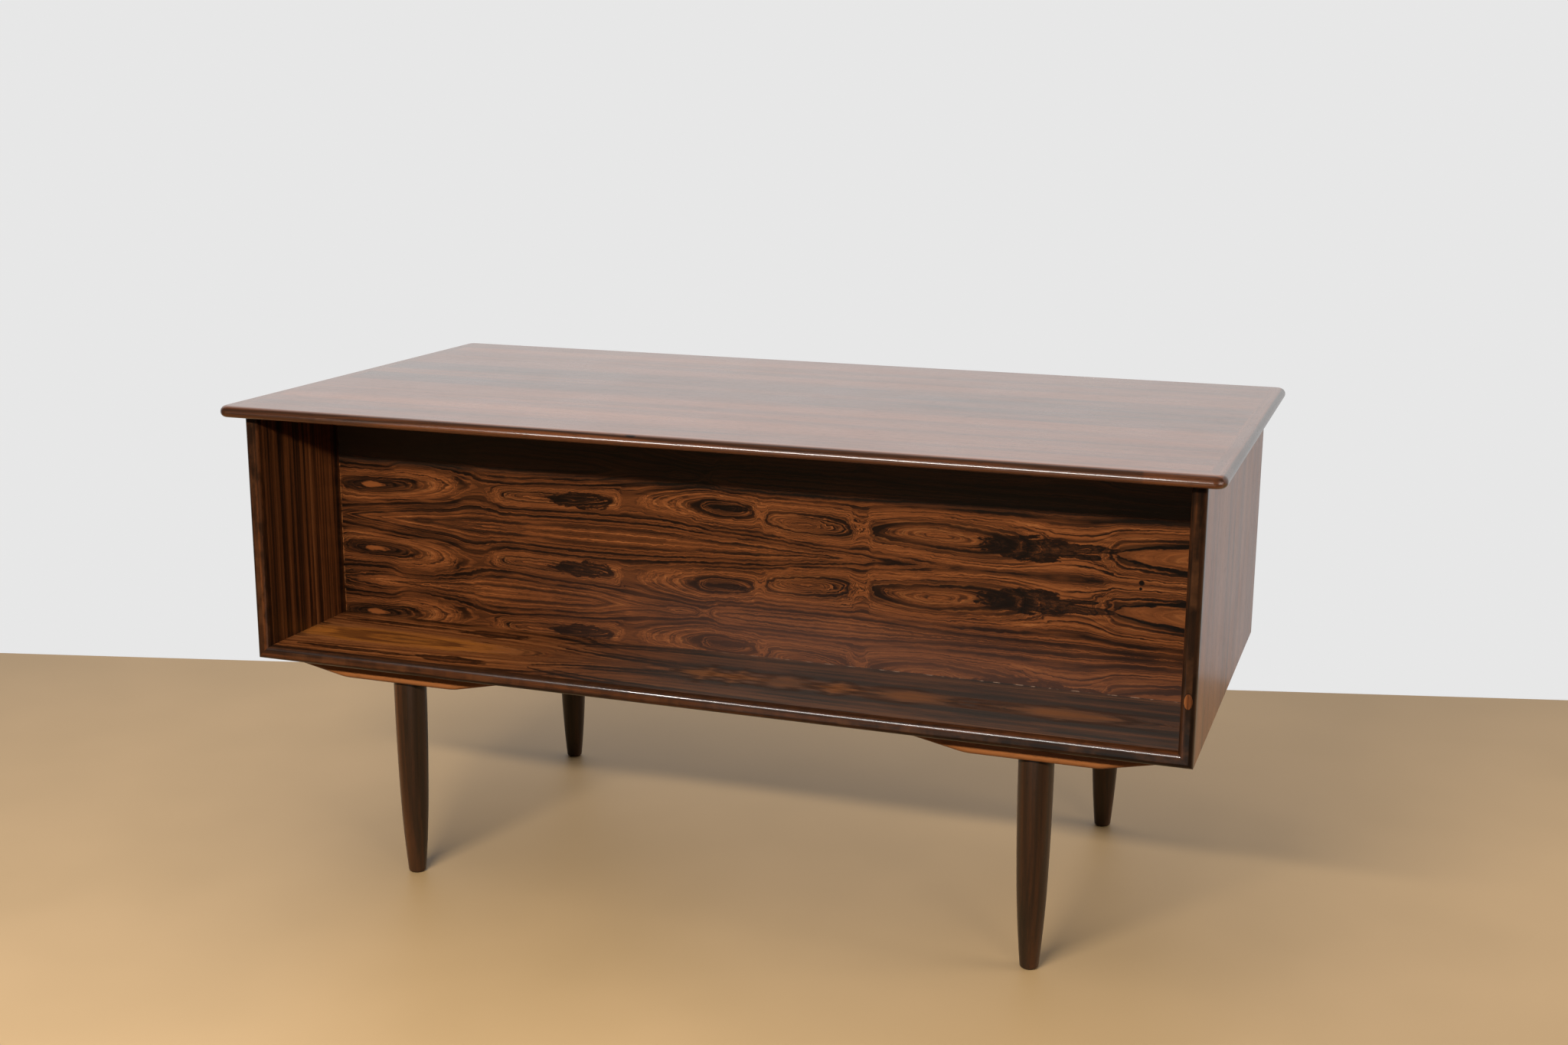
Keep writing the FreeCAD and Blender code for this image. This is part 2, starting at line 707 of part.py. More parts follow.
def make_drawer_front(name):
    """Front with sockets for the dovetails, a groove for the bottom and a hole for the knob."""
    body = new_body(name)
    face = sketch_on(body, "XZ_Plane", "face")
    rectangle(face, "-front_width / 2", "0", "front_width / 2", "front_height")
    slab = pad(body, face, "drawer_front_thickness")
    eased = fillet(
        body, slab, lambda edge: lies_at(edge, "y", 0), "min(drawer_front_roll; 0.3 * drawer_front_thickness)"
    )
    sockets = draw_tails(sketch_on(body, "YZ_Plane", "sockets", "-front_width / 2"))
    left_sockets = pocket(body, sockets, "drawer_side_thickness", backwards=True)
    mirrored = body.newObject("PartDesign::Mirrored", f"{name}_right_sockets")
    mirrored.Originals = [left_sockets]
    mirrored.MirrorPlane = (origin_plane(body, "YZ_Plane"), [""])
    body.Tip = mirrored
    groove = sketch_on(body, "XZ_Plane", "groove", minus("shoulder"))
    rectangle(groove, minus("side_inner"), "bottom_low", "side_inner", "bottom_low + bottom_slot")
    pocket(body, groove, "drawer_groove_depth")
    knob_hole = sketch_on(body, "XZ_Plane", "knob_hole")
    circle(knob_hole, "0", "knob_height", "knob_tenon_diameter + 2 * bore_clearance")
    pocket(body, knob_hole, "knob_tenon_length + bore_clearance", backwards=True)
    return body


def make_drawer_side(name, hand):
    """Side with tails at its front end, a runner slot outside, and a bottom groove and back dado inside."""
    body = new_body(name)
    low_x = "side_inner" if hand > 0 else "-front_width / 2"
    inner_x = f"{hand} * side_inner"
    outer_x = f"{hand} * front_width / 2"
    inward = hand < 0
    panel = sketch_on(body, "YZ_Plane", "panel", low_x)
    rectangle(panel, "drawer_rear", "drawer_side_rise", "shoulder", "side_top")
    pad(body, panel, "drawer_side_thickness")
    pad(body, draw_tails(sketch_on(body, "YZ_Plane", "tails", low_x)), "drawer_side_thickness")
    slot = sketch_on(body, "YZ_Plane", "slot", outer_x)
    rectangle(slot, "drawer_rear", "slot_low", "slot_front", "slot_low + slot_height")
    pocket(body, slot, "slot_depth", backwards=inward)
    groove = sketch_on(body, "YZ_Plane", "groove", inner_x)
    rectangle(groove, "drawer_rear", "bottom_low", "-tail_lap", "bottom_low + bottom_slot")
    pocket(body, groove, "drawer_groove_depth", backwards=not inward)
    dado = sketch_on(body, "YZ_Plane", "dado", inner_x)
    dado_front = "back_rear + drawer_back_thickness"
    rectangle(dado, "back_rear", "bottom_top", dado_front, "side_top - drawer_back_drop")
    pocket(body, dado, "drawer_dado_depth", backwards=not inward)
    return body


def make_knob(name):
    """Turned conical knob with a dished face and a tenon for the front."""
    body = new_body(name)
    face = "knob_face_diameter / 2"
    tenon = "knob_tenon_diameter / 2"
    profile = [
        ("0", "-knob_tenon_length"),
        (tenon, "-knob_tenon_length"),
        (tenon, "0"),
        ("knob_neck_diameter / 2", "0"),
        (face, "knob_length - knob_rim_height"),
        (face, "knob_length"),
        (f"{face} - knob_rim_width", "knob_length"),
        ("0", "knob_length - knob_dish"),
    ]
    turned = revolve(body, outline(sketch_on(body, "XY_Plane", "half_section"), profile))
    face_radius = number("knob_face_diameter") / 2

    def rim(edge):
        return edge.Curve.TypeId == "Part::GeomCircle" and near(edge.Curve.Radius, face_radius)

    fillet(body, turned, rim, "min(knob_rim_roll; 0.4 * knob_rim_height; 0.8 * knob_rim_width)")
    return body


def drawer_foot(row):
    """Height of the lower edge of the fronts in one row."""
    return f"floor_top + drawer_gap + {row} * (front_height + drawer_gap)"


def make_drawer(name, hand, row):
    """One drawer, made about the foot of its front and put in its place in the pedestal."""
    front = make_drawer_front(f"{name}_front")
    sides = [make_drawer_side(f"{name}_{side}_side", own) for side, own in PEDESTALS.items()]
    back_half = "(side_inner + drawer_dado_depth)"
    back_low = (minus(back_half), "back_rear", "bottom_top")
    back_height = "side_top - drawer_back_drop - bottom_top"
    bottom_half = "(side_inner + drawer_groove_depth - fit_clearance)"
    bottom_depth = "side_length + drawer_groove_depth - fit_clearance"
    bottom_low = (minus(bottom_half), "drawer_rear", "bottom_low + fit_clearance")
    x = f"{hand} * bay_centre"
    z = drawer_foot(row)
    back_place = (f"{x} + {back_low[0]}", f"front_plane + {back_low[1]}", f"{z} + {back_low[2]}")
    bottom_place = (f"{x} + {bottom_low[0]}", f"front_plane + {bottom_low[1]}", f"{z} + {bottom_low[2]}")
    back = board(f"{name}_back", back_place, (f"2 * {back_half}", "drawer_back_thickness", back_height))
    bottom_extent = (f"2 * {bottom_half}", bottom_depth, "drawer_bottom_thickness")
    bottom = board(f"{name}_bottom", bottom_place, bottom_extent)
    knob = make_knob(f"{name}_knob")
    for made in (front, *sides):
        place(made, x, "front_plane", z)
    place(knob, x, "front_plane", f"{z} + knob_height")
    for piece in (front, group(f"{name}_sides", sides), back, bottom, knob):
        keep(piece)


def make_runners():
    """Hardwood strips on the walls of both bays, two for each drawer."""
    strips = []
    width = "drawer_side_gap + runner_reach"
    extent = (width, "runner_length", "runner_height")
    for side, hand in PEDESTALS.items():
        for row, level in enumerate(ROWS):
            low_z = f"{drawer_foot(row)} + slot_low + fit_clearance"
            walls = {"left": f"{hand} * bay_centre - bay_width / 2"}
            walls["right"] = f"{hand} * bay_centre + bay_width / 2 - ({width})"
            for wall, low_x in walls.items():
                name = f"{side}_runner_{wall}_{level}"
                strips.append(board(name, (low_x, "bay_rear", low_z), extent))
    keep(group("drawer_runners", strips))


def write_parts():
    """Check every object, then write one file for each sub-part."""
    doc.recompute()
    for item in doc.Objects:
        if {"Invalid", "Error"} & set(item.State):
            raise ValueError(f"{item.Label} failed: {item.State}")
    for piece in pieces:
        if piece.Shape.isNull() or not piece.Shape.isValid() or not piece.Shape.Solids:
            raise ValueError(f"{piece.Label} has no valid solid")
    os.makedirs("parts", exist_ok=True)
    for piece in pieces:
        piece.Shape.exportStep(f"parts/{piece.Label}.step")
        print(f"{piece.Label}: {len(piece.Shape.Solids)} solid(s), {piece.Shape.Volume / 1000:.1f} cm3")


make_top()
make_case_sides()
make_niche()
for pedestal, side_hand in PEDESTALS.items():
    make_pedestal(pedestal, side_hand)
make_undercarriage()
for pedestal, side_hand in PEDESTALS.items():
    for step, level in enumerate(ROWS):
        make_drawer(f"{pedestal}_{level}_drawer", side_hand, step)
make_runners()
write_parts()
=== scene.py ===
import math

import bpy
from mathutils import Matrix, Vector

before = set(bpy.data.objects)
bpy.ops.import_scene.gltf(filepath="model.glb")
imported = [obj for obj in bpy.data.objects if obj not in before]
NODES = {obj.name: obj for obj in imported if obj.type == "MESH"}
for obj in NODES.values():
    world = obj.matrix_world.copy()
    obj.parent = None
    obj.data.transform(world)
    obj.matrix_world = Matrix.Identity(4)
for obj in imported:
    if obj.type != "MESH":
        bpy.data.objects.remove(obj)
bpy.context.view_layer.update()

# Faces and edges of the desk that the finishes follow.
TOP_HALF_LENGTH = 0.726
TOP_HALF_DEPTH = 0.382
TOP_FACE = 0.732
VISITOR_EDGE = -0.352
USER_EDGE = 0.329
CASE_INSIDE = 0.680
CASE_OUTSIDE = 0.700
NICHE_BACK_FACE = -0.137
CASE_FLOOR_FACE = 0.362
CLEAT_BOTTOM = 0.313
BAY_CENTRE = 0.482
BAY_HALF_WIDTH = 0.198
FRONT_HALF_WIDTH = 0.196
FRONT_HEIGHT = 0.11367
FRONT_BOTTOM = 0.365

# Colours of rosewood, from its black lines to its light bands.
INK = (0.0040, 0.0022, 0.0014)
UMBER = (0.022, 0.0082, 0.0034)
RUST = (0.060, 0.0178, 0.0052)
AMBER = (0.125, 0.0365, 0.0096)
GOLD = (0.210, 0.0720, 0.0205)
TONES = [(0.30, INK), (0.42, UMBER), (0.50, RUST), (0.60, AMBER), (0.75, GOLD)]

# Other colours on rosewood: rubbed edges, faded legs, painted reflection, sheen and shade in the
# niche, the niche floor's oval and chips.
WORN = (0.082, 0.0300, 0.0105)
FADED = (0.0225, 0.0140, 0.0076)
BACK_PAINTED_REFLECTION = (0.095, 0.046, 0.033)
BACK_PAINTED_SHADE = (0.061, 0.045, 0.031)
FLOOR_PAINTED_SHEEN = (0.050, 0.050, 0.045)
OVAL_LIGHT = (0.250, 0.080, 0.0120)
CHIP = (0.42, 0.27, 0.18)

# Colours of the drawers' woods and of the steel.
OAK = [(0.32, (0.300, 0.165, 0.072)), (0.50, (0.430, 0.265, 0.130)), (0.68, (0.520, 0.345, 0.185))]
OAK_PORE = (0.170, 0.085, 0.034)
OAK_MARK = (0.230, 0.130, 0.060)
BIRCH = [(0.30, (0.470, 0.310, 0.170)), (0.70, (0.600, 0.430, 0.262))]
BIRCH_PIN = (0.330, 0.195, 0.095)
BEECH = [(0.35, (0.380, 0.200, 0.100)), (0.65, (0.520, 0.305, 0.165))]
BEECH_FLECK = (0.230, 0.105, 0.046)
STEEL_DARK = (0.34, 0.33, 0.32)
STEEL_LIGHT = (0.50, 0.49, 0.47)
RUST_BLOOM = (0.13, 0.075, 0.045)

# Colours of the stage and its light.
FLOOR_NEAR = [(0.3, (0.290, 0.187, 0.086)), (0.7, (0.316, 0.204, 0.096))]
FLOOR_FAR = (0.62, 0.42, 0.23)
NO_LIGHT = (0.0, 0.0, 0.0)
WALL_WHITE = (0.80, 0.80, 0.80)
SKY_WHITE = (1.0, 0.995, 0.99)
LAMP_WHITE = (1.0, 0.98, 0.95)

# The stage: where the wall meets the floor at its two ends, its height, the floor's half size, and
# how far from the desk's middle the floor's colour goes from near to far.
WALL_LEFT = (-14.0, -2.772)
WALL_RIGHT = (14.0, 4.644)
WALL_HEIGHT = 8.0
FLOOR_REACH = 14.0
FLOOR_FADE = (1.9, 4.5)

# The camera that took the photograph: its place, its angles in degrees and its lens in millimetres.
CAMERA_PLACE = (0.97665, -2.69404, 1.19197)
CAMERA_TURN = 19.545
CAMERA_DIP = 12.9144
CAMERA_ROLL = 0.2991
CAMERA_LENS = 43.7372
SENSOR_WIDTH = 36.0

# A figured leaf of veneer, read along the grain. Most lists hold (place along the grain, value):
# near, middle and far say how far its near line, the middle of its eyes and its far line lie from
# the near seam; swell, where its rings open into eyes (0) or pinch (high); cores, how light the
# eyes are inside; near_seam and far_seam, where the lines outside close up at the two seams (1).
# leaf is the leaf's width. Its knots and light hearts are marks, as described further down, and
# depth says how dark the knots are. A tongue is a pointed light band: place along and across,
# half width, length and strength.
NICHE_BACK = {
    "leaf": 0.104,
    "near": [
        (-0.7, 0.012), (-0.6, 0.022), (-0.55, 0.027), (-0.5, 0.03), (-0.47, 0.036), (-0.44, 0.043),
        (-0.42, 0.04), (-0.4, 0.035), (-0.38, 0.0325), (-0.25, 0.035), (-0.15, 0.034),
        (-0.1, 0.0305), (-0.05, 0.0255), (0.05, 0.02), (0.1, 0.0135), (0.15, 0.009), (0.2, 0.0045),
        (0.25, 0.0), (0.35, -0.01), (0.7, -0.014),
    ],
    "middle": [
        (-0.7, 0.052), (-0.61, 0.0515), (-0.52, 0.055), (-0.44, 0.06), (-0.4, 0.053),
        (-0.34, 0.052), (-0.2, 0.058), (-0.1, 0.06), (-0.02, 0.059), (0.05, 0.05), (0.11, 0.045),
        (0.19, 0.043), (0.27, 0.046), (0.36, 0.04), (0.46, 0.039), (0.7, 0.041),
    ],
    "far": [
        (-0.7, 0.086), (-0.65, 0.082), (-0.6, 0.081), (-0.56, 0.091), (-0.5, 0.086), (-0.45, 0.08),
        (-0.39, 0.069), (-0.33, 0.074), (-0.25, 0.077), (-0.2, 0.081), (-0.15, 0.087),
        (-0.1, 0.09), (-0.06, 0.094), (-0.03, 0.089), (0.05, 0.088), (0.2, 0.09), (0.3, 0.095),
        (0.5, 0.1), (0.7, 0.103),
    ],
    "swell": [
        (-0.7, 2.4), (-0.68, 1.2), (-0.66, 0.5), (-0.62, 0.0), (-0.58, 0.25), (-0.545, 1.0),
        (-0.52, 1.7), (-0.49, 3.0), (-0.45, 5.5), (-0.43, 5.8), (-0.41, 4.5), (-0.398, 1.6),
        (-0.39, 0.9), (-0.36, 0.05), (-0.33, 0.0), (-0.28, 0.15), (-0.23, 0.5), (-0.205, 1.1),
        (-0.195, 2.8), (-0.185, 5.0), (-0.15, 3.8), (-0.115, 2.4), (-0.09, 1.4), (-0.072, 0.95),
        (-0.05, 0.3), (-0.025, 0.1), (0.0, 0.35), (0.022, 0.95), (0.033, 1.9), (0.042, 0.9),
        (0.07, 0.2), (0.105, 0.0), (0.14, 0.2), (0.17, 0.9), (0.192, 2.5), (0.203, 1.1),
        (0.218, 0.8), (0.24, 0.5), (0.27, 0.27), (0.3, 0.18), (0.34, 0.3), (0.37, 0.48),
        (0.4, 0.8), (0.42, 1.2), (0.45, 1.9), (0.5, 2.4), (0.535, 2.0), (0.548, 1.5), (0.56, 0.95),
        (0.58, 0.74), (0.61, 0.48), (0.65, 0.22), (0.7, 0.05),
    ],
    "cores": [
        (-0.7, 0.3), (-0.65, 0.28), (-0.61, 0.3), (-0.56, 0.42), (-0.45, 0.5), (-0.37, 0.62),
        (-0.31, 0.6), (-0.27, 0.52), (-0.2, 0.5), (-0.17, 0.45), (-0.06, 0.4), (-0.02, 0.44),
        (0.02, 0.38), (0.05, 0.5), (0.11, 0.58), (0.19, 0.5), (0.27, 0.52), (0.36, 0.52),
        (0.46, 0.54), (0.54, 0.5), (0.562, 0.52), (0.59, 0.62), (0.7, 0.66),
    ],
    "near_seam": [
        (-0.7, 0.85), (-0.6, 0.42), (-0.46, 0.15), (-0.22, 0.0), (0.05, 0.2), (0.2, 0.6),
        (0.25, 1.0), (0.7, 1.0),
    ],
    "far_seam": [
        (-0.7, 0.7), (-0.6, 0.35), (-0.4, 0.0), (-0.25, 0.1), (-0.13, 0.6), (-0.095, 0.4),
        (-0.072, 0.5), (-0.06, 0.86), (-0.048, 0.5), (-0.03, 0.3), (0.1, 0.1), (0.3, 0.2),
        (0.6, 0.6), (0.7, 0.8),
    ],
    "knots": [
        (0.432, 0.0385, 0.068, 0.0165), (0.512, 0.044, 0.046, 0.006),
        (0.505, 0.0325, 0.036, 0.0034), (-0.255, 0.054, 0.048, 0.012),
        (-0.018, 0.059, 0.03, 0.0045),
    ],
    "depth": 0.17,
    "hearts": [(-0.622, 0.052, 0.02, 0.0052)],
    "tongues": [(0.556, 0.0405, 0.018, 0.1, 0.8)],
}
NICHE_FLOOR = {
    "leaf": 0.111,
    "near": [(-0.7, -0.14), (-0.3, -0.12), (-0.2, -0.07), (-0.05, -0.036), (0.7, -0.038)],
    "middle": [(-0.7, 0.0), (-0.2, 0.001), (0.7, 0.0)],
    "far": [
        (-0.7, 0.14), (-0.3, 0.12), (-0.22, 0.085), (-0.15, 0.05), (-0.05, 0.034), (0.1, 0.031),
        (0.3, 0.036), (0.5, 0.038), (0.7, 0.03),
    ],
    "swell": [
        (-0.7, 1.6), (-0.3, 2.0), (-0.2, 2.2), (-0.1, 2.0), (-0.05, 0.9), (-0.01, 0.1),
        (0.04, 0.8), (0.1, 0.3), (0.16, 0.9), (0.195, 0.1), (0.22, 0.9), (0.29, 0.0), (0.36, 0.9),
        (0.4, 1.6), (0.43, 0.8), (0.5, 0.0), (0.6, 0.9), (0.7, 2.5),
    ],
    "cores": [
        (-0.7, 0.5), (-0.06, 0.45), (0.05, 0.5), (0.16, 0.5), (0.38, 0.5), (0.44, 0.65),
        (0.58, 0.6), (0.7, 0.3),
    ],
    "near_seam": [(-0.7, 1.0), (0.0, 0.9), (0.7, 1.0)],
    "far_seam": [(-0.7, 0.4), (-0.3, 0.0), (0.2, 0.3), (0.7, 0.6)],
    "knots": [(-0.55, 0.073, 0.09, 0.006), (-0.392, 0.069, 0.052, 0.013)],
    "depth": 0.2,
    "hearts": [],
    "tongues": [(-0.235, 0.056, 0.026, 0.15, 0.45), (-0.275, 0.056, 0.037, 0.16, 0.0)],
}
DRAWER_FRONT = {
    "leaf": 0.1166667,
    "near": [(0.26, 0.018), (0.38, 0.03), (0.5, 0.02), (0.6, 0.032), (0.7, 0.024)],
    "middle": [(0.26, 0.052), (0.38, 0.06), (0.5, 0.054), (0.6, 0.064), (0.7, 0.058)],
    "far": [(0.26, 0.098), (0.38, 0.088), (0.5, 0.094), (0.6, 0.09), (0.7, 0.1)],
    "swell": [
        (0.26, -0.4), (0.31, 0.3), (0.35, 1.6), (0.39, 0.8), (0.44, 0.0), (0.5, 1.0), (0.55, 3.2),
        (0.59, 1.4), (0.635, 0.1), (0.67, 0.8), (0.7, 1.5),
    ],
    "cores": [
        (0.26, 0.7), (0.34, 0.5), (0.43, 0.35), (0.5, 0.55), (0.6, 0.5), (0.64, 0.3), (0.7, 0.4),
    ],
    "near_seam": [(0.26, 0.6), (0.45, 0.0), (0.7, 0.5)],
    "far_seam": [(0.26, 0.2), (0.5, 0.5), (0.7, 0.0)],
    "knots": [(0.43, 0.057, 0.024, 0.0075), (0.648, 0.061, 0.018, 0.006)],
    "depth": 0.11,
    "hearts": [(0.632, 0.0615, 0.008, 0.003)],
    "tongues": [],
}

# Seams that the leaves are counted from: heights on the back and fronts, depths on floor and top.
BACK_SEAM = 0.524
FRONT_SEAM = 0.3635
FLOOR_SEAM = -0.244
TOP_SEAM = 0.03

# Rings of a figure: the square of the ring on its near and far lines, how many more rings follow
# up to an open seam, and the least width of the margin beside a seam.
EDGE_RING_SQUARED = 7.4
SEAM_RINGS = 2.2
LEAST_MARGIN = 0.0005

# Black lines on the rings: ring, half width, and strength in patches and everywhere.
BLACK_RINGS = [
    (0.54, 0.05, 0.5, 0.3), (0.74, 0.07, 1.0, 0.0), (0.99, 0.17, 0.0, 1.0), (1.22, 0.07, 0.0, 0.8),
    (2.24, 0.14, 0.6, 0.4), (2.72, 0.22, 0.0, 1.0), (3.30, 0.10, 1.0, 0.0),
]

# Light diamonds on the niche floor's seam: place, half length and strength; and their half width.
DIAMONDS = [
    (-0.012, 0.034, 0.68), (0.036, 0.03, 0.55), (0.107, 0.058, 0.28), (0.187, 0.036, 0.62),
    (0.29, 0.09, 0.45), (0.51, 0.118, 0.45),
]
DIAMOND_HALF_WIDTH = 0.030

# Where the spliced piece of the front nose begins.
NOSE_SPLICE = 0.622

# Marks, each given as its place along and across and its half length and half width.
NOSE_KNOT = (-0.066, 0.7305, 0.008, 0.0022)
NAIL_HOLES = [(0.592, 0.5270, 0.0040, 0.0036), (0.591, 0.5185, 0.0022, 0.0022)]
FLOOR_OVAL = (-0.520, 0.0, 0.165, 0.034)
LIPPING_PLUG = (0.690, 0.433, 0.006, 0.0115)

# Light streaks on the inner faces of the case sides: place, half width and strength.
SIDE_STREAKS = [(-0.226, 0.020, 1.0), (-0.180, 0.008, 0.7)]


class Value:
    """A shader socket that takes part in Python sums."""

    def __init__(self, finish, socket):
        self.finish = finish
        self.socket = socket

    def math(self, operation, *others):
        return self.finish.math(operation, self, *others)

    def sibling(self, name):
        """Another output of the same node."""
        return Value(self.finish, self.socket.node.outputs[name])

    def __add__(self, other):
        return self.math("ADD", other)

    def __radd__(self, other):
        return self.finish.math("ADD", other, self)

    def __sub__(self, other):
        return self.math("SUBTRACT", other)

    def __rsub__(self, other):
        return self.finish.math("SUBTRACT", other, self)

    def __mul__(self, other):
        return self.math("MULTIPLY", other)

    def __rmul__(self, other):
        return self.finish.math("MULTIPLY", other, self)

    def __truediv__(self, other):
        return self.math("DIVIDE", other)

    def __rtruediv__(self, other):
        return self.finish.math("DIVIDE", other, self)

    def __abs__(self):
        return self.math("ABSOLUTE")

    def __pow__(self, other):
        return self.math("POWER", other)

    def __rpow__(self, other):
        return self.finish.math("POWER", other, self)


class Finish:
    """The nodes of a material, or of the world, put together one by one."""

    def __init__(self, name, kind="materials"):
        self.owner = getattr(bpy.data, kind).new(name)
        self.owner.use_nodes = True
        self.tree = self.owner.node_tree
        self.tree.nodes.clear()

    def node(self, kind, settings=None, sockets=None, output=0):
        """Any node: its settings first, then the values or links of its sockets."""
        made = self.tree.nodes.new(kind)
        for name, value in (settings or {}).items():
            if name == "stops":
                set_stops(made.color_ramp, value)
            elif name == "curve":
                set_curve(made.mapping, value)
            else:
                setattr(made, name, value)
        for name, value in (sockets or {}).items():
            socket = made.inputs[name]
            if isinstance(value, Value):
                self.tree.links.new(value.socket, socket)
            elif socket.type == "RGBA":
                socket.default_value = (*value, 1.0)
            else:
                socket.default_value = value
        return Value(self, made.outputs[output]) if made.outputs else None

    def math(self, operation, *values):
        return self.node("ShaderNodeMath", {"operation": operation}, dict(enumerate(values)))

    def place(self):
        """The point of the desk that is being shaded, as x, y and z."""
        point = self.node("ShaderNodeTexCoord", output="Object")
        x = self.node("ShaderNodeSeparateXYZ", {}, {"Vector": point})
        return x, x.sibling("Y"), x.sibling("Z")

    def vector(self, x, y, z):
        return self.node("ShaderNodeCombineXYZ", {}, {"X": x, "Y": y, "Z": z})

    def noise(self, x, y, z, detail=2.0, roughness=0.5, distortion=0.0):
        sockets = {
            "Vector": self.vector(x, y, z),
            "Scale": 1.0,
            "Detail": detail,
            "Roughness": roughness,
            "Distortion": distortion,
        }
        return self.node("ShaderNodeTexNoise", {}, sockets)

    def cloud(self, place, scale, detail, roughness=0.5):
        """Noise that is alike in all directions."""
        x, y, z = place
        return self.noise(x * scale, y * scale, z * scale, detail, roughness)

    def lines(self, along, detail=2.0, roughness=0.5):
        """Noise along one number only."""
        sockets = {"W": along, "Scale": 1.0, "Detail": detail, "Roughness": roughness}
        return self.node("ShaderNodeTexNoise", {"noise_dimensions": "1D"}, sockets)

    def step(self, value, low, high):
        """0 below low, 1 above high and a soft change between; high may be the smaller one."""
        sockets = {"Value": value, "From Min": low, "From Max": high}
        return self.node("ShaderNodeMapRange", {"interpolation_type": "SMOOTHSTEP"}, sockets)

    def stroke(self, value, centre, half):
        """1 on a line where value meets centre, fading to 0 at half its width to each side."""
        return self.step(abs(value - centre), half, half * 0.35)

    def profile(self, value, points):
        """Smooth curve through points that are given as (value, result)."""
        first, last = points[0][0], points[-1][0]
        low = min(result for _, result in points)
        high = max(result for _, result in points)
        rise = high - low
        curve = [((at - first) / (last - first), (result - low) / rise) for at, result in points]
        share = (value - first) / (last - first)
        return self.node("ShaderNodeFloatCurve", {"curve": curve}, {"Value": share}) * rise + low

    def ramp(self, value, stops):
        return self.node("ShaderNodeValToRGB", {"stops": stops}, {"Fac": value})

    def blend(self, share, one, other):
        """Colour that goes from one to other as share goes from 0 to 1."""
        settings = {"data_type": "RGBA", "clamp_factor": True}
        return self.node("ShaderNodeMix", settings, {0: share, 6: one, 7: other}, output=2)

    def surface(self, colour, roughness, height=None, depth=0.0, **constant):
        """Close the material with its shader; height is a relief of the given depth."""
        sockets = {"Base Color": colour, "Roughness": roughness}
        if height is not None:
            relief = {"Height": height, "Distance": depth, "Strength": 1.0}
            sockets["Normal"] = self.node("ShaderNodeBump", {}, relief)
        sockets.update({name.replace("_", " "): value for name, value in constant.items()})
        shader = self.node("ShaderNodeBsdfPrincipled", {}, sockets)
        self.node("ShaderNodeOutputMaterial", {}, {"Surface": shader})
        return self.owner


def set_stops(ramp, stops):
    while len(ramp.elements) > 1:
        ramp.elements.remove(ramp.elements[-1])
    for index, (position, colour) in enumerate(stops):
        stop = ramp.elements[0] if index == 0 else ramp.elements.new(position)
        stop.position = position
        stop.color = (*colour, 1.0)


def set_curve(mapping, points):
    curve = mapping.curves[0]
    for index, (across, up) in enumerate(points):
        if index < 2:
            curve.points[index].location = (across, up)
        else:
            curve.points.new(across, up)
    for point in curve.points:
        point.handle_type = "AUTO_CLAMPED"
    mapping.update()


def turned(place, along):
    """The three axes of a piece, with the one its grain follows first."""
    x, y, z = place
    return {"x": (x, y, z), "y": (y, x, z), "z": (z, x, y)}[along]


def knot(run, leaf, at, across, half_long, half_wide):
    """0 in the middle of a knot and 1 at its outline."""
    return (((run - at) / half_long) ** 2.0 + ((leaf - across) / half_wide) ** 2.0).math("SQRT")


def pores(finish, along, across, through):
    """Short dark flecks that lie with the grain."""
    flecks = finish.noise(along * 70.0, across * 1300.0, through * 1300.0, detail=1.0)
    return finish.step(flecks, 0.60, 0.70)


def straight_grain(finish, along, across, through, tone=0.0, stripes=26.0, contrast=1.0):
    """Colour and relief of straight-grained rosewood; along runs with the grain."""
    wander = finish.noise(along * 1.7, across * 5.0, through * 5.0, detail=2.0) - 0.5
    side = across + wander * 0.02
    deep = through + wander * 0.02
    bands = finish.noise(along * 0.45, side * stripes, deep * stripes, detail=3.0, roughness=0.55)
    fine = finish.noise(along * 1.6, side * 190.0, deep * 190.0, detail=3.0, roughness=0.6)
    wide = stripes * 1.4
    drift = finish.noise(along * 0.6, side * wide, deep * wide + 9.0, detail=1.0)
    black = finish.stroke(drift, 0.5, 0.022) * finish.step(bands, 0.62, 0.45)
    shade = (bands * 0.70 + fine * 0.30) * contrast + (tone + 0.5 - 0.5 * contrast)
    flecks = pores(finish, along, side, deep)
    dark = (black * (0.85 * min(contrast, 1.0))).math("MAXIMUM", flecks * 0.6)
    return finish.blend(dark, finish.ramp(shade, TONES), INK), fine * 0.5 - flecks


def ring_field(finish, run, leaf, figure):
    """Rings of a figure: 0 in the middle of an eye, 1 at its outline and more outside it."""
    near, middle, far, swell, near_seam, far_seam = (
        finish.profile(run, figure[name])
        for name in ("near", "middle", "far", "swell", "near_seam", "far_seam")
    )
    off = leaf - middle
    reach = (off / (near - middle)).math("MAXIMUM", off / (far - middle)).math("MINIMUM", 1.0)
    inner = reach * reach * EDGE_RING_SQUARED + (1.0 - reach * reach) * swell
    from_near = leaf / near.math("MAXIMUM", LEAST_MARGIN)
    from_far = (figure["leaf"] - leaf) / (figure["leaf"] - far).math("MAXIMUM", LEAST_MARGIN)
    outside = 1.0 - from_near.math("MINIMUM", from_far).math("MINIMUM", 1.0)
    closing = near_seam + (far_seam - near_seam) * finish.step(off, -0.002, 0.002)
    return inner.math("MAXIMUM", 0.0).math("SQRT") + outside * (1.0 - closing) * SEAM_RINGS


def knot_field(run, leaf, knots):
    """0 in the middle of the nearest knot and 1 at its outline."""
    nearest = 9.0
    for place in knots:
        nearest = knot(run, leaf, *place).math("MINIMUM", nearest)
    return nearest


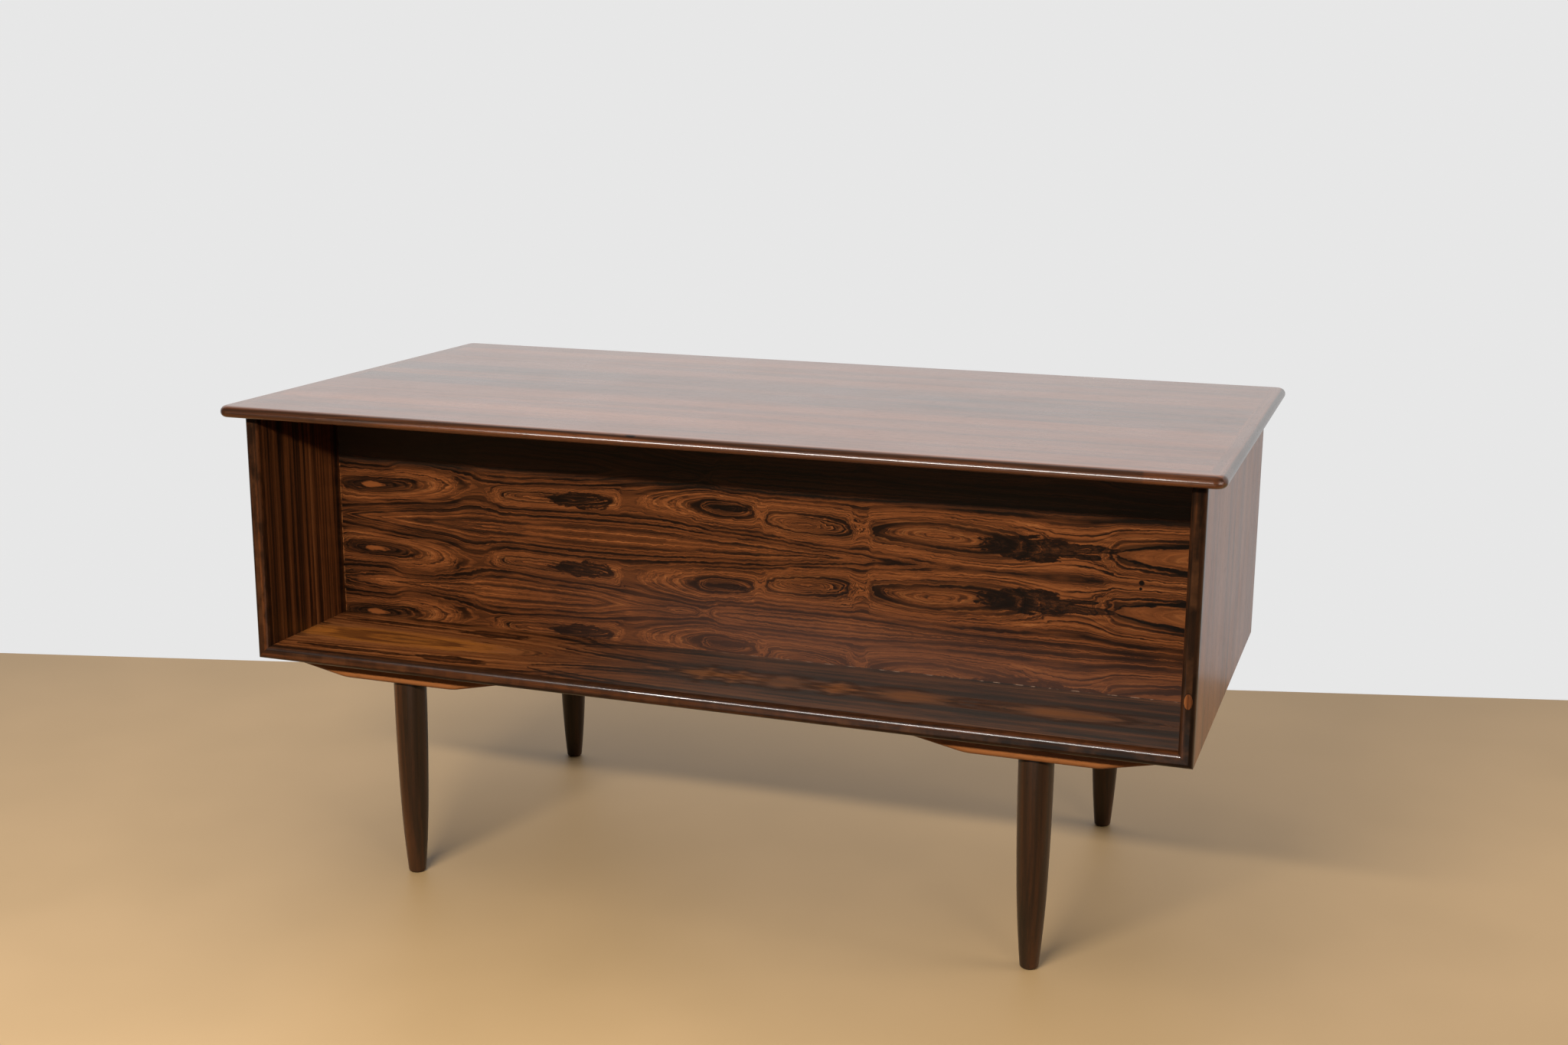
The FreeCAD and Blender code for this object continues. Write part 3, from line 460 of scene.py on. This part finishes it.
def ring_lines(finish, run, ring, patchy):
    """Black lines round the eyes and thin ones between them."""
    black = 0.0
    for at, half, in_patches, everywhere in BLACK_RINGS:
        line = finish.stroke(ring, at, half) * (patchy * in_patches + everywhere)
        black = line.math("MAXIMUM", black)
    black = black * (patchy * 0.2 + 0.8)
    hair = finish.lines(ring * 5.2 + run * 1.5 + 3.0, detail=2.0)
    faint = finish.lines(ring * 8.5 + run * 2.0, detail=1.0)
    hair = finish.stroke(hair, 0.5, 0.030) * patchy
    hair = hair.math("MAXIMUM", finish.stroke(faint, 0.48, 0.045) * 0.6)
    return (black * 0.97).math("MAXIMUM", hair * 0.85)


def figured_leaf(finish, run, leaf, place, figure, tone=0.0):
    """Colour and relief of rosewood with eyes; leaf is the distance from the leaf's near seam."""
    sway = finish.noise(run * 5.0, place * 14.0, 0.0, detail=1.0) - 0.5
    crinkle = finish.noise(run * 55.0, place * 110.0, 4.0, detail=2.0, roughness=0.6) - 0.5
    run = run + sway * 0.020 + crinkle * 0.022
    leaf = leaf + sway * 0.004 + crinkle * 0.0056
    ring = ring_field(finish, run, leaf, figure)
    patchy = finish.step(finish.noise(run * 9.0, leaf * 30.0, 7.0, detail=2.0), 0.36, 0.58)
    torn = finish.noise(run * 42.0, leaf * 120.0, 1.0, detail=4.0, roughness=0.65)
    ragged = (torn - 0.5) * 1.7
    spot = knot_field(run, leaf, figure["knots"]) + ragged

    years = finish.lines(ring * 2.3 + run * 0.8 + 5.0, detail=4.0, roughness=0.72) - 0.5
    nested = finish.lines(ring * 8.0 + run * 3.0 + 1.7, detail=3.0, roughness=0.7) - 0.5
    whorls = finish.lines(spot * 5.0 + run * 14.0, detail=3.0, roughness=0.7) - 0.5
    thin = finish.noise(run * 2.0, leaf * 260.0, ring * 4.0, detail=2.0) - 0.5
    late = 1.0 - (ring * 5.0 + finish.lines(ring * 2.6 + 2.0) * 3.0 + run * 1.2).math("FRACT")
    inside = finish.step(ring, 1.04, 0.88)
    halo = finish.step(ring, 2.2, 1.5) * (1.0 - inside)
    core = (finish.profile(run, figure["cores"]) - 0.5) * 0.50 + nested * 0.60
    shade = 0.551 + years * 0.42 + thin * 0.32 - late ** 3.0 * (patchy * 0.12 + 0.06)
    shade = shade + halo * 0.05 + inside * core + tone
    shade = shade - finish.step(spot, 1.15, 0.70) * figure["depth"]
    shade = shade + finish.step(spot, 1.0, 0.8) * whorls * 0.60

    flecks = pores(finish, run, leaf, 0.0)
    dark = ring_lines(finish, run, ring, patchy).math("MAXIMUM", flecks * 0.55)
    dark = dark.math("MAXIMUM", finish.stroke(spot, 0.92, 0.22) * 0.92)
    colour = finish.blend(dark, finish.ramp(shade, TONES), INK)
    for heart_place in figure["hearts"]:
        heart = knot(run, leaf, *heart_place) + ragged * 0.3
        share = finish.step(heart, 1.10, 0.60) * (0.85 + nested * 1.5)
        colour = finish.blend(share, colour, AMBER)
    for at, across, half_wide, long, light in figure["tongues"]:
        tip = ((run - at) / long).math("MAXIMUM", 0.0).math("SQRT") * half_wide + 0.0003
        tongue = abs(leaf - across) / tip + ragged * 0.25
        shown = finish.step(run, at - 0.004, at + 0.002)
        shown = shown * finish.step(run, at + long * 1.7, at + long * 1.2)
        share = finish.step(tongue, 0.95, 0.55) * shown * light * (0.7 + thin)
        colour = finish.blend(share, colour, AMBER)
        colour = finish.blend(finish.stroke(tongue, 1.0, 0.26) * shown, colour, INK)
    return colour, thin * 0.5 - flecks


def rubbed(finish, colour, edge, place):
    """Colour worn lighter in patches where edge is 1."""
    patches = finish.step(finish.cloud(place, 14.0, detail=4.0, roughness=0.7), 0.46, 0.70)
    return finish.blend(edge * patches * 0.45, colour, WORN)


def lacquer(finish, colour, relief, place, roughness=0.34, depth=0.00004, **constant):
    """Satin lacquer over wood: the pores show through, and handling leaves it uneven."""
    handling = finish.cloud(place, 9.0, detail=3.0) - 0.5
    values = {"Coat_Weight": 0.10, "Coat_Roughness": 0.16, "Specular_IOR_Level": 0.35}
    values.update(constant)
    uneven = relief * -0.06 + handling * 0.10 + roughness
    return finish.surface(colour, uneven, relief, depth, **values)


def top_leaves():
    """Quiet straight leaves, matched at a seam behind the middle of the top."""
    finish = Finish("top_leaves")
    x, y, z = place = finish.place()
    across = abs(y - TOP_SEAM)
    grain = {"tone": 0.05, "stripes": 20.0, "contrast": 0.48}
    colour, relief = straight_grain(finish, x, across, z, **grain)
    values = {"Coat_Weight": 0.52, "Specular_IOR_Level": 0.42}
    return lacquer(finish, colour, relief, place, roughness=0.30, depth=0.000003, **values)


def top_edge(name, along):
    """Lipping of the top: like the leaves on its flat, darker on its nose."""
    finish = Finish(name)
    x, y, z = place = finish.place()
    axes = turned(place, along)
    rim = (abs(x) - TOP_HALF_LENGTH).math("MAXIMUM", abs(y) - TOP_HALF_DEPTH)
    nose = finish.step(rim, -0.0075, -0.0040)
    nose = nose.math("MAXIMUM", finish.step(z, TOP_FACE - 0.0015, TOP_FACE - 0.0030))
    splice = finish.step(x, NOSE_SPLICE, NOSE_SPLICE + 0.004) * finish.step(y, -0.30, -0.31)
    shade = splice * 0.045 - finish.step(x, -0.5, 0.6) * 0.045
    flat, relief = straight_grain(finish, *axes, tone=0.05, stripes=26.0, contrast=0.5)
    dark, _ = straight_grain(finish, *axes, tone=shade, stripes=70.0, contrast=0.6)
    dark = finish.blend(finish.step(knot(x, z, *NOSE_KNOT), 1.1, 0.7), dark, INK)
    colour = finish.blend(nose, flat, dark)
    colour = rubbed(finish, colour, finish.step(rim, -0.0005, -0.0001), place)
    values = {"Coat_Weight": 0.52, "Coat_Roughness": 0.10, "Specular_IOR_Level": 0.40}
    return lacquer(finish, colour, relief, place, roughness=0.30, depth=0.000003, **values)


def niche_back_leaves():
    """Three leaves with eyes, painted reflection low on the right, painted shade under the top,
    nail holes, and a painted highlight in chips down the left edge.
    """
    finish = Finish("niche_back_leaves")
    x, y, z = place = finish.place()
    leaf = abs(z - BACK_SEAM).math("PINGPONG", NICHE_BACK["leaf"])
    colour, relief = figured_leaf(finish, x, leaf, z, NICHE_BACK)
    # Painted reflection: a pale veil over the lower right of the back, standing in for the floor
    # mirrored in the lacquer.
    low = finish.step(z + x * 0.08, 0.500, 0.395) * finish.step(x, -0.45, 0.15)
    colour = finish.blend(low * 0.38, colour, BACK_PAINTED_REFLECTION)
    # Painted shade: a flat grey-brown sheet over the band that lies in the top's shadow, lighter
    # towards the left.
    painted_shade = finish.step(z, 0.606, 0.628) * (0.55 + finish.step(x, -0.2, -0.6) * 0.35)
    colour = finish.blend(painted_shade, colour, BACK_PAINTED_SHADE)
    face = finish.step(y, NICHE_BACK_FACE + 0.003, NICHE_BACK_FACE + 0.001)
    for hole in NAIL_HOLES:
        colour = finish.blend(finish.step(knot(x, z, *hole), 1.2, 0.8) * face, colour, INK)
    # Painted highlight: a thin pale line, broken into chips, down the left inner corner below the
    # top's shadow.
    chips = finish.step(finish.noise(x * 90.0, z * 90.0, 2.0, detail=2.0), 0.40, 0.60)
    corner = finish.step(x, 0.0025 - CASE_INSIDE, 0.0005 - CASE_INSIDE)
    corner = corner * finish.step(z, 0.63, 0.60) * face
    colour = finish.blend(corner * chips * 0.6, colour, GOLD)
    values = {"Coat_Weight": 0.0, "Specular_IOR_Level": 0.21}
    return lacquer(finish, colour, relief, place, roughness=0.36, **values)


def niche_floor_leaves():
    """Two leaves that meet on a row of diamonds, with a light oval at the left end."""
    finish = Finish("niche_floor_leaves")
    x, y, z = place = finish.place()
    leaf = abs(y - FLOOR_SEAM)
    tone = finish.step(x, -0.15, -0.35) * 0.05 + 0.04
    colour, relief = figured_leaf(finish, x, leaf, y, NICHE_FLOOR, tone)
    ragged = (finish.noise(x * 14.0, leaf * 120.0, 1.0, detail=2.0) - 0.5) * 0.9
    veins = finish.noise(x * 5.0, leaf * 85.0, 5.0, detail=3.0) - 0.5
    oval = knot(x, leaf, *FLOOR_OVAL) + ragged
    light = finish.step(oval, 1.20, 0.85) * (0.74 + veins * 2.2)
    colour = finish.blend(light, colour, OVAL_LIGHT)
    colour = finish.blend(finish.stroke(oval, 0.52, 0.26) * 0.75, colour, RUST)
    colour = finish.blend(finish.step(oval, 0.32, 0.12) * 0.6, colour, UMBER)
    band = finish.stroke(leaf + ragged * 0.006, 0.034, 0.016) * finish.step(x, -0.12, 0.05)
    colour = finish.blend(band * 0.75, colour, INK)
    # Painted sheen: a grey veil over the middle and right of the niche floor.
    colour = finish.blend(finish.step(x, -0.35, 0.10) * 0.50, colour, FLOOR_PAINTED_SHEEN)
    for at, half_long, strength in DIAMONDS:
        diamond = abs(x - at) / half_long + leaf / DIAMOND_HALF_WIDTH
        diamond = diamond + ragged * 1.2 + veins * 2.6
        colour = finish.blend(finish.stroke(diamond, 1.15, 0.34) * 0.45, colour, UMBER)
        light = finish.step(diamond, 1.10, 0.45) * strength * (1.0 + veins * 2.5)
        colour = finish.blend(light, colour, GOLD)
    chips = finish.step(finish.noise(x * 60.0, 3.0, 0.0, detail=3.0), 0.50, 0.60)
    joint = finish.stroke(y, NICHE_BACK_FACE - 0.0015, 0.0022)
    joint = joint * finish.step(z, CASE_FLOOR_FACE - 0.0010, CASE_FLOOR_FACE - 0.0002)
    colour = finish.blend(joint * chips * finish.step(x, -0.25, 0.45) * 0.8, colour, CHIP)
    values = {"Coat_Weight": 0.05, "Specular_IOR_Level": 0.28}
    return lacquer(finish, colour, relief, place, **values)


def case_side_leaves():
    """Upright leaves: plain outside, finely striped with two light streaks in the niche."""
    finish = Finish("case_side_leaves")
    x, y, z = place = finish.place()
    outer = finish.step(abs(x), CASE_OUTSIDE - 0.010, CASE_OUTSIDE - 0.004)
    bent = y + (finish.noise(z * 3.0, x, 0.0) - 0.5) * 0.02
    outside, relief = straight_grain(finish, z, y, x, tone=0.14, stripes=24.0, contrast=0.6)
    inside, _ = straight_grain(finish, z, y, x, tone=0.0, stripes=150.0, contrast=1.4)
    light, _ = straight_grain(finish, z, y, x, tone=0.11, stripes=170.0, contrast=1.5)
    streaks = 0.0
    for at, half, strength in SIDE_STREAKS:
        streaks = (finish.stroke(bent, at, half) * strength).math("MAXIMUM", streaks)
    inside = finish.blend(streaks, inside, light)
    inside = finish.blend(finish.step(bent, -0.262, -0.300) * 0.4, inside, INK)
    colour = finish.blend(outer, inside, outside)
    values = {"Coat_Weight": 0.20, "Specular_IOR_Level": 0.38}
    return lacquer(finish, colour, relief, place, roughness=0.36, **values)


def case_edge(name, along, tone, left, mottled):
    """Dark lipping of the niche; left is added to its tone at the left end of the desk."""
    finish = Finish(name)
    x, y, z = place = finish.place()
    shade = finish.step(x, 0.7, -0.7) * left + tone
    grain = {"tone": shade, "stripes": 80.0, "contrast": 0.8}
    colour, relief = straight_grain(finish, *turned(place, along), **grain)
    mottle = finish.step(finish.noise(x * 60.0, y * 60.0, z * 25.0, detail=3.0), 0.45, 0.62)
    colour = finish.blend(mottle * mottled, colour, INK)
    edge = finish.step(y, VISITOR_EDGE + 0.0003, VISITOR_EDGE)
    colour = rubbed(finish, colour, edge, place)
    values = {"Coat_Weight": 0.35, "Coat_Roughness": 0.10, "Specular_IOR_Level": 0.10}
    return lacquer(finish, colour, relief, place, roughness=0.32, depth=0.000004, **values)


def user_edges():
    """Lippings round a pedestal's drawers: upright at its walls, level under them."""
    finish = Finish("user_edges")
    x, y, z = place = finish.place()
    upright, relief = straight_grain(finish, z, x, y, tone=-0.02, stripes=55.0)
    level, _ = straight_grain(finish, x, z, y, tone=-0.02, stripes=55.0)
    off = abs(abs(x) - BAY_CENTRE)
    strip = finish.step(z, CASE_FLOOR_FACE + 0.0005, CASE_FLOOR_FACE - 0.0005)
    strip = strip * finish.step(off, BAY_HALF_WIDTH + 0.0005, BAY_HALF_WIDTH - 0.0005)
    edge = finish.step(y, USER_EDGE - 0.0005, USER_EDGE)
    colour = rubbed(finish, finish.blend(strip, upright, level), edge, place)
    values = {"Coat_Weight": 0.12, "Specular_IOR_Level": 0.25}
    return lacquer(finish, colour, relief, place, **values)


def plain_leaves(name, along, tone):
    """Straight leaves without figure."""
    finish = Finish(name)
    place = finish.place()
    colour, relief = straight_grain(finish, *turned(place, along), tone=tone)
    return lacquer(finish, colour, relief, place, roughness=0.38)


def drawer_front_leaves():
    """One figured leaf on each front, mirrored row by row and rubbed at the fronts' edges."""
    finish = Finish("drawer_front_leaves")
    x, _, z = place = finish.place()
    leaf = (z - FRONT_SEAM).math("PINGPONG", DRAWER_FRONT["leaf"])
    colour, relief = figured_leaf(finish, abs(x), leaf, z, DRAWER_FRONT, tone=0.02)
    row = (z - FRONT_BOTTOM).math("FLOORED_MODULO", DRAWER_FRONT["leaf"])
    inset = FRONT_HALF_WIDTH - abs(abs(x) - BAY_CENTRE)
    inset = inset.math("MINIMUM", row).math("MINIMUM", FRONT_HEIGHT - row)
    colour = rubbed(finish, colour, finish.step(inset, 0.0022, 0.0006), place)
    return lacquer(finish, colour, relief, place, roughness=0.33, Coat_Weight=0.2)


def leg_wood():
    """Dark straight wood, a little faded, rubbed at the feet."""
    finish = Finish("leg_wood")
    x, y, z = place = finish.place()
    colour, relief = straight_grain(finish, z, x, y, tone=-0.06, stripes=60.0, contrast=0.55)
    colour = finish.blend(0.35, colour, FADED)
    colour = rubbed(finish, colour, finish.step(z, 0.010, 0.002), place)
    values = {"Coat_Weight": 0.10, "Specular_IOR_Level": 0.30}
    return lacquer(finish, colour, relief, place, roughness=0.33, **values)


def cleat_wood():
    """Lighter wood than the case, with painted light from the floor along the cleats' lower edges.
    """
    finish = Finish("cleat_wood")
    x, y, z = place = finish.place()
    colour, relief = straight_grain(finish, x, y, z, tone=0.27, stripes=35.0, contrast=0.7)
    # Painted light: the lower edges are made lighter where the floor's bounced light falls on them.
    edge = finish.step(z, CLEAT_BOTTOM + 0.021, CLEAT_BOTTOM + 0.003)
    colour = finish.blend(edge * 0.5, colour, GOLD)
    values = {"Coat_Weight": 0.0, "Specular_IOR_Level": 0.2}
    return lacquer(finish, colour, relief, place, roughness=0.50, **values)


def plug_wood():
    """Oval plug in the right niche lipping, with a dark glue line round it."""
    finish = Finish("plug_wood")
    x, y, z = place = finish.place()
    colour, relief = straight_grain(finish, z, x, y, tone=0.17, stripes=160.0)
    glue = finish.step(knot(x, z, *LIPPING_PLUG), 0.84, 0.96)
    colour = finish.blend(glue, colour, INK)
    return lacquer(finish, colour, relief, place, roughness=0.35, Specular_IOR_Level=0.15)


def knob_wood():
    """Dark wood with the grain running through the knob, polished by hands."""
    finish = Finish("knob_wood")
    x, y, z = place = finish.place()
    colour, relief = straight_grain(finish, y, x, z, tone=-0.04, stripes=90.0)
    return lacquer(finish, colour, relief, place, roughness=0.28, Coat_Weight=0.4)


def drawer_oak(name, along):
    """Bare pale oak: open pores with the grain, darker year rings and handling marks."""
    finish = Finish(name)
    place = finish.place()
    run, side, deep = turned(place, along)
    wander = (finish.noise(run * 2.5, side * 8.0, deep * 8.0) - 0.5) * 0.012
    across, through = (side + wander) * 95.0, (deep + wander) * 95.0
    years = finish.noise(run * 0.8, across, through, detail=3.0, roughness=0.6)
    flecks = finish.noise(run * 45.0, side * 1100.0, deep * 1100.0, detail=1.0)
    flecks = finish.step(flecks, 0.58, 0.70)
    marks = finish.cloud(place, 7.0, detail=4.0, roughness=0.65)
    colour = finish.blend(flecks * 0.55, finish.ramp(years, OAK), OAK_PORE)
    colour = finish.blend(finish.step(marks, 0.56, 0.72) * 0.30, colour, OAK_MARK)
    relief = years * 0.4 - flecks
    return finish.surface(colour, marks * 0.25 + 0.40, relief, 0.00008, Specular_IOR_Level=0.30)


def bottom_ply():
    """Birch ply: a broad flame figure and small dark pins."""
    finish = Finish("bottom_ply")
    x, y, z = finish.place()
    flame = finish.noise(x * 2.0, y * 9.0, z * 60.0, detail=2.0, distortion=0.8)
    rings = finish.lines(flame * 26.0, detail=2.0)
    pins = finish.noise(x * 500.0, y * 60.0, z * 500.0, detail=1.0)
    pins = finish.step(pins, 0.64, 0.72)
    colour = finish.blend(pins * 0.4, finish.ramp(rings, BIRCH), BIRCH_PIN)
    relief = rings * 0.3 - pins
    return finish.surface(colour, rings * 0.15 + 0.45, relief, 0.00005, Specular_IOR_Level=0.30)


def runner_beech():
    """Beech, waxed and rubbed bright where the drawers slide on it."""
    finish = Finish("runner_beech")
    x, y, z = finish.place()
    bands = finish.noise(y * 1.0, x * 70.0, z * 70.0, detail=3.0)
    flecks = finish.noise(y * 130.0, x * 700.0, z * 700.0, detail=1.0)
    flecks = finish.step(flecks, 0.60, 0.68)
    rubs = finish.noise(y * 1.6, x * 160.0, z * 160.0, detail=2.0)
    colour = finish.blend(flecks * 0.5, finish.ramp(bands, BEECH), BEECH_FLECK)
    return finish.surface(colour, 0.55 - rubs * 0.30, bands * 0.3 - flecks * 0.7, 0.00006)


def bolt_steel():
    """Plain steel with turning marks round each bolt and a brown bloom."""
    finish = Finish("bolt_steel")
    x, y, z = place = finish.place()
    turning = finish.noise(x * 900.0, y * 900.0, z * 3500.0, detail=1.0)
    bloom = finish.step(finish.cloud(place, 220.0, detail=3.0, roughness=0.6), 0.52, 0.70)
    colour = finish.blend(turning, STEEL_DARK, STEEL_LIGHT)
    colour = finish.blend(bloom * 0.6, colour, RUST_BLOOM)
    uneven = bloom * 0.3 + turning * 0.12 + 0.26
    return finish.surface(colour, uneven, turning, 0.00002, Metallic=0.95)


def paint(material, *names):
    """Give one finish to the named pieces."""
    for name in names:
        node = NODES[name]
        node.data.materials.clear()
        node.data.materials.append(material)


def names_ending(*endings):
    return [name for name in NODES if name.endswith(endings)]


def paint_desk():
    paint(top_leaves(), "top_panel")
    paint(top_edge("top_edge_long", "x"), "top_lipping_visitor", "top_lipping_user")
    paint(top_edge("top_edge_short", "y"), "top_lipping_left", "top_lipping_right")
    paint(case_side_leaves(), *names_ending("_case_side"))
    upright = case_edge("case_edge_upright", "z", tone=-0.13, left=0.05, mottled=0.6)
    paint(upright, *names_ending("_niche_lipping"))
    level = case_edge("case_edge_level", "x", tone=-0.075, left=0.02, mottled=0.3)
    paint(level, "niche_floor_lipping")
    paint(plug_wood(), "lipping_plug")
    paint(niche_back_leaves(), "niche_back")
    paint(niche_floor_leaves(), "niche_floor")
    paint(plain_leaves("kneehole_leaves", "z", 0.0), *names_ending("_kneehole_wall"))
    paint(plain_leaves("pedestal_floor_leaves", "x", -0.02), *names_ending("_pedestal_floor"))
    paint(user_edges(), *names_ending("_user_lippings"))
    paint(drawer_front_leaves(), *names_ending("_drawer_front"))
    paint(leg_wood(), *names_ending("_leg"))
    paint(cleat_wood(), *names_ending("_cleat"))
    paint(knob_wood(), *names_ending("_knob"))
    paint(drawer_oak("drawer_side_oak", "y"), *names_ending("_sides"))
    paint(drawer_oak("drawer_back_oak", "x"), *names_ending("_drawer_back"))
    paint(bottom_ply(), *names_ending("_bottom"))
    paint(runner_beech(), "drawer_runners")
    paint(bolt_steel(), "leg_bolts", "cleat_screws")


def add_flat(name, corners):
    """One four-cornered face, added to the scene."""
    mesh = bpy.data.meshes.new(name)
    mesh.from_pydata(corners, [], [(0, 1, 2, 3)])
    flat = bpy.data.objects.new(name, mesh)
    bpy.context.scene.collection.objects.link(flat)
    return flat


def make_floor(name, corners):
    """Pale floor; it throws little light back up, as in a large room."""
    floor = add_flat(name, [(*corner, 0.0) for corner in corners])
    finish = Finish(name)
    x, y, z = finish.place()
    tone = finish.noise(x * 3.0, y * 3.0, z, detail=2.0)
    away = (x * x + y * y).math("SQRT")
    far = finish.step(away, *FLOOR_FADE)
    colour = finish.blend(far, finish.ramp(tone, FLOOR_NEAR), FLOOR_FAR)
    bounced = finish.node("ShaderNodeLightPath", output="Is Diffuse Ray")
    mirrored = bounced.sibling("Is Glossy Ray") * finish.step(y, -0.2, -0.6)
    colour = finish.blend(bounced * 0.65 + mirrored * 0.8, colour, NO_LIGHT)
    floor.data.materials.append(finish.surface(colour, 0.55))
    return floor


def make_wall():
    """White wall behind the desk, seen by the camera alone and only from its front."""
    low, high = 0.0, WALL_HEIGHT
    corners = [(*WALL_LEFT, low), (*WALL_RIGHT, low), (*WALL_RIGHT, high), (*WALL_LEFT, high)]
    wall = add_flat("studio_wall", corners)
    finish = Finish("white_wall")
    front = finish.node("ShaderNodeEmission", {}, {"Color": WALL_WHITE})
    behind = finish.node("ShaderNodeBsdfTransparent")
    side = finish.node("ShaderNodeNewGeometry", output="Backfacing")
    both = finish.node("ShaderNodeMixShader", {}, {0: side, 1: front, 2: behind})
    finish.node("ShaderNodeOutputMaterial", {}, {"Surface": both})
    wall.data.materials.append(finish.owner)
    wall.visible_diffuse = False
    wall.visible_glossy = False
    wall.visible_shadow = False


def make_world():
    """Pale surroundings: bright behind the desk, as from a wall, and dim on the camera's side."""
    sky = Finish("studio", "worlds")
    towards = sky.node("ShaderNodeTexCoord", output="Generated")
    x = sky.node("ShaderNodeSeparateXYZ", {}, {"Vector": towards})
    y, z = x.sibling("Y"), x.sibling("Z")
    wall = sky.step(y, -0.10, 0.45) * (0.68 - x * 0.10 + z * 0.45) + 0.055
    around = sky.node("ShaderNodeBackground", {}, {"Color": SKY_WHITE, "Strength": wall})
    backdrop = sky.node("ShaderNodeBackground", {}, {"Color": WALL_WHITE})
    seen = sky.node("ShaderNodeLightPath", output="Is Camera Ray")
    both = sky.node("ShaderNodeMixShader", {}, {0: seen, 1: around, 2: backdrop})
    sky.node("ShaderNodeOutputWorld", {}, {"Surface": both})
    bpy.context.scene.world = sky.owner


def add_light(name, place, target, size, watts, matt=True, glossy=True, pieces=()):
    """Soft box; it may be kept out of the matt or the glossy light, or be kept to some pieces."""
    data = bpy.data.lights.new(name, "AREA")
    data.shape = "RECTANGLE"
    data.size, data.size_y = size
    data.energy = watts
    data.color = LAMP_WHITE
    light = bpy.data.objects.new(name, data)
    light.location = place
    light.rotation_mode = "QUATERNION"
    light.rotation_quaternion = (Vector(target) - Vector(place)).to_track_quat("-Z", "Y")
    light.visible_diffuse = matt
    light.visible_glossy = glossy
    light.visible_camera = False
    bpy.context.scene.collection.objects.link(light)
    if pieces:
        lit = bpy.data.collections.new(name + "_pieces")
        for piece in pieces:
            lit.objects.link(NODES[piece])
        light.light_linking.receiver_collection = lit


def make_lights():
    """Soft light from the front and above; the glints are strips that only the lippings mirror."""
    front = (-0.3, -2.75, 1.75), (-0.1, -0.3, 0.55)
    low_front = (-0.5, -2.75, 0.62), (0.1, -0.38, 0.72)
    low_right = (2.67, -1.77, 0.55), (0.72, -0.37, 0.72)
    under_sill = (0.25, -1.25, 0.02), (0.25, -1.25, 1.0)
    right = (2.3, -2.4, 1.6), (0.2, 0.0, 0.5)
    side = (3.2, 0.3, 1.4), (0.6, 0.0, 0.5)
    behind = (0.5, 3.2, 1.7), (0.0, 0.3, 0.5)
    above = (-0.3, -0.3, 2.7), (0.0, 0.0, 0.0)
    nose = ["top_lipping_visitor"]
    sill = ["niche_floor_lipping"]
    words = ("drawer", "user", "kneehole", "niche_back")
    user_side = [name for name in NODES if any(word in name for word in words)]
    add_light("front_strip", *front, (1.5, 0.12), 155.0, glossy=False)
    add_light("top_glint", *low_front, (1.7, 0.18), 56.0, matt=False, pieces=nose)
    add_light("sill_glint", *front, (1.9, 0.12), 420.0, matt=False, pieces=sill)
    add_light("corner_glint", *low_right, (0.5, 0.3), 60.0, matt=False, pieces=nose)
    add_light("floor_glow", *under_sill, (1.2, 0.5), 1.2, matt=False)
    add_light("right_fill", *right, (0.7, 0.3), 18.0, glossy=False)
    add_light("side_fill", *side, (1.4, 1.4), 42.0, glossy=False)
    add_light("drawer_fill", *behind, (1.8, 0.9), 75.0, glossy=False, pieces=user_side)
    add_light("ceiling", *above, (3.0, 2.0), 55.0, glossy=False)


def make_camera():
    """Camera at the place the photograph was taken from."""
    turn, dip, roll = (math.radians(angle) for angle in (CAMERA_TURN, CAMERA_DIP, CAMERA_ROLL))
    reach = math.cos(dip)
    forward = Vector((-math.sin(turn) * reach, math.cos(turn) * reach, -math.sin(dip)))
    level = Vector((math.cos(turn), math.sin(turn), 0.0))
    upright = level.cross(forward)
    right = level * math.cos(roll) + upright * math.sin(roll)
    up = upright * math.cos(roll) - level * math.sin(roll)
    data = bpy.data.cameras.new("camera")
    data.sensor_width = SENSOR_WIDTH
    data.lens = CAMERA_LENS
    camera = bpy.data.objects.new("camera", data)
    axes = Matrix((right, up, -forward)).transposed()
    camera.matrix_world = Matrix.Translation(CAMERA_PLACE) @ axes.to_4x4()
    bpy.context.scene.collection.objects.link(camera)
    bpy.context.scene.camera = camera


paint_desk()
front_corners = [(-FLOOR_REACH, -FLOOR_REACH), (FLOOR_REACH, -FLOOR_REACH)]
back_corners = [(FLOOR_REACH, FLOOR_REACH), (-FLOOR_REACH, FLOOR_REACH)]
make_floor("front_floor", [*front_corners, WALL_RIGHT, WALL_LEFT])
back_floor = make_floor("back_floor", [WALL_LEFT, WALL_RIGHT, *back_corners])
back_floor.visible_glossy = False
make_wall()
make_world()
make_lights()
make_camera()
bpy.context.scene.view_settings.view_transform = "Standard"
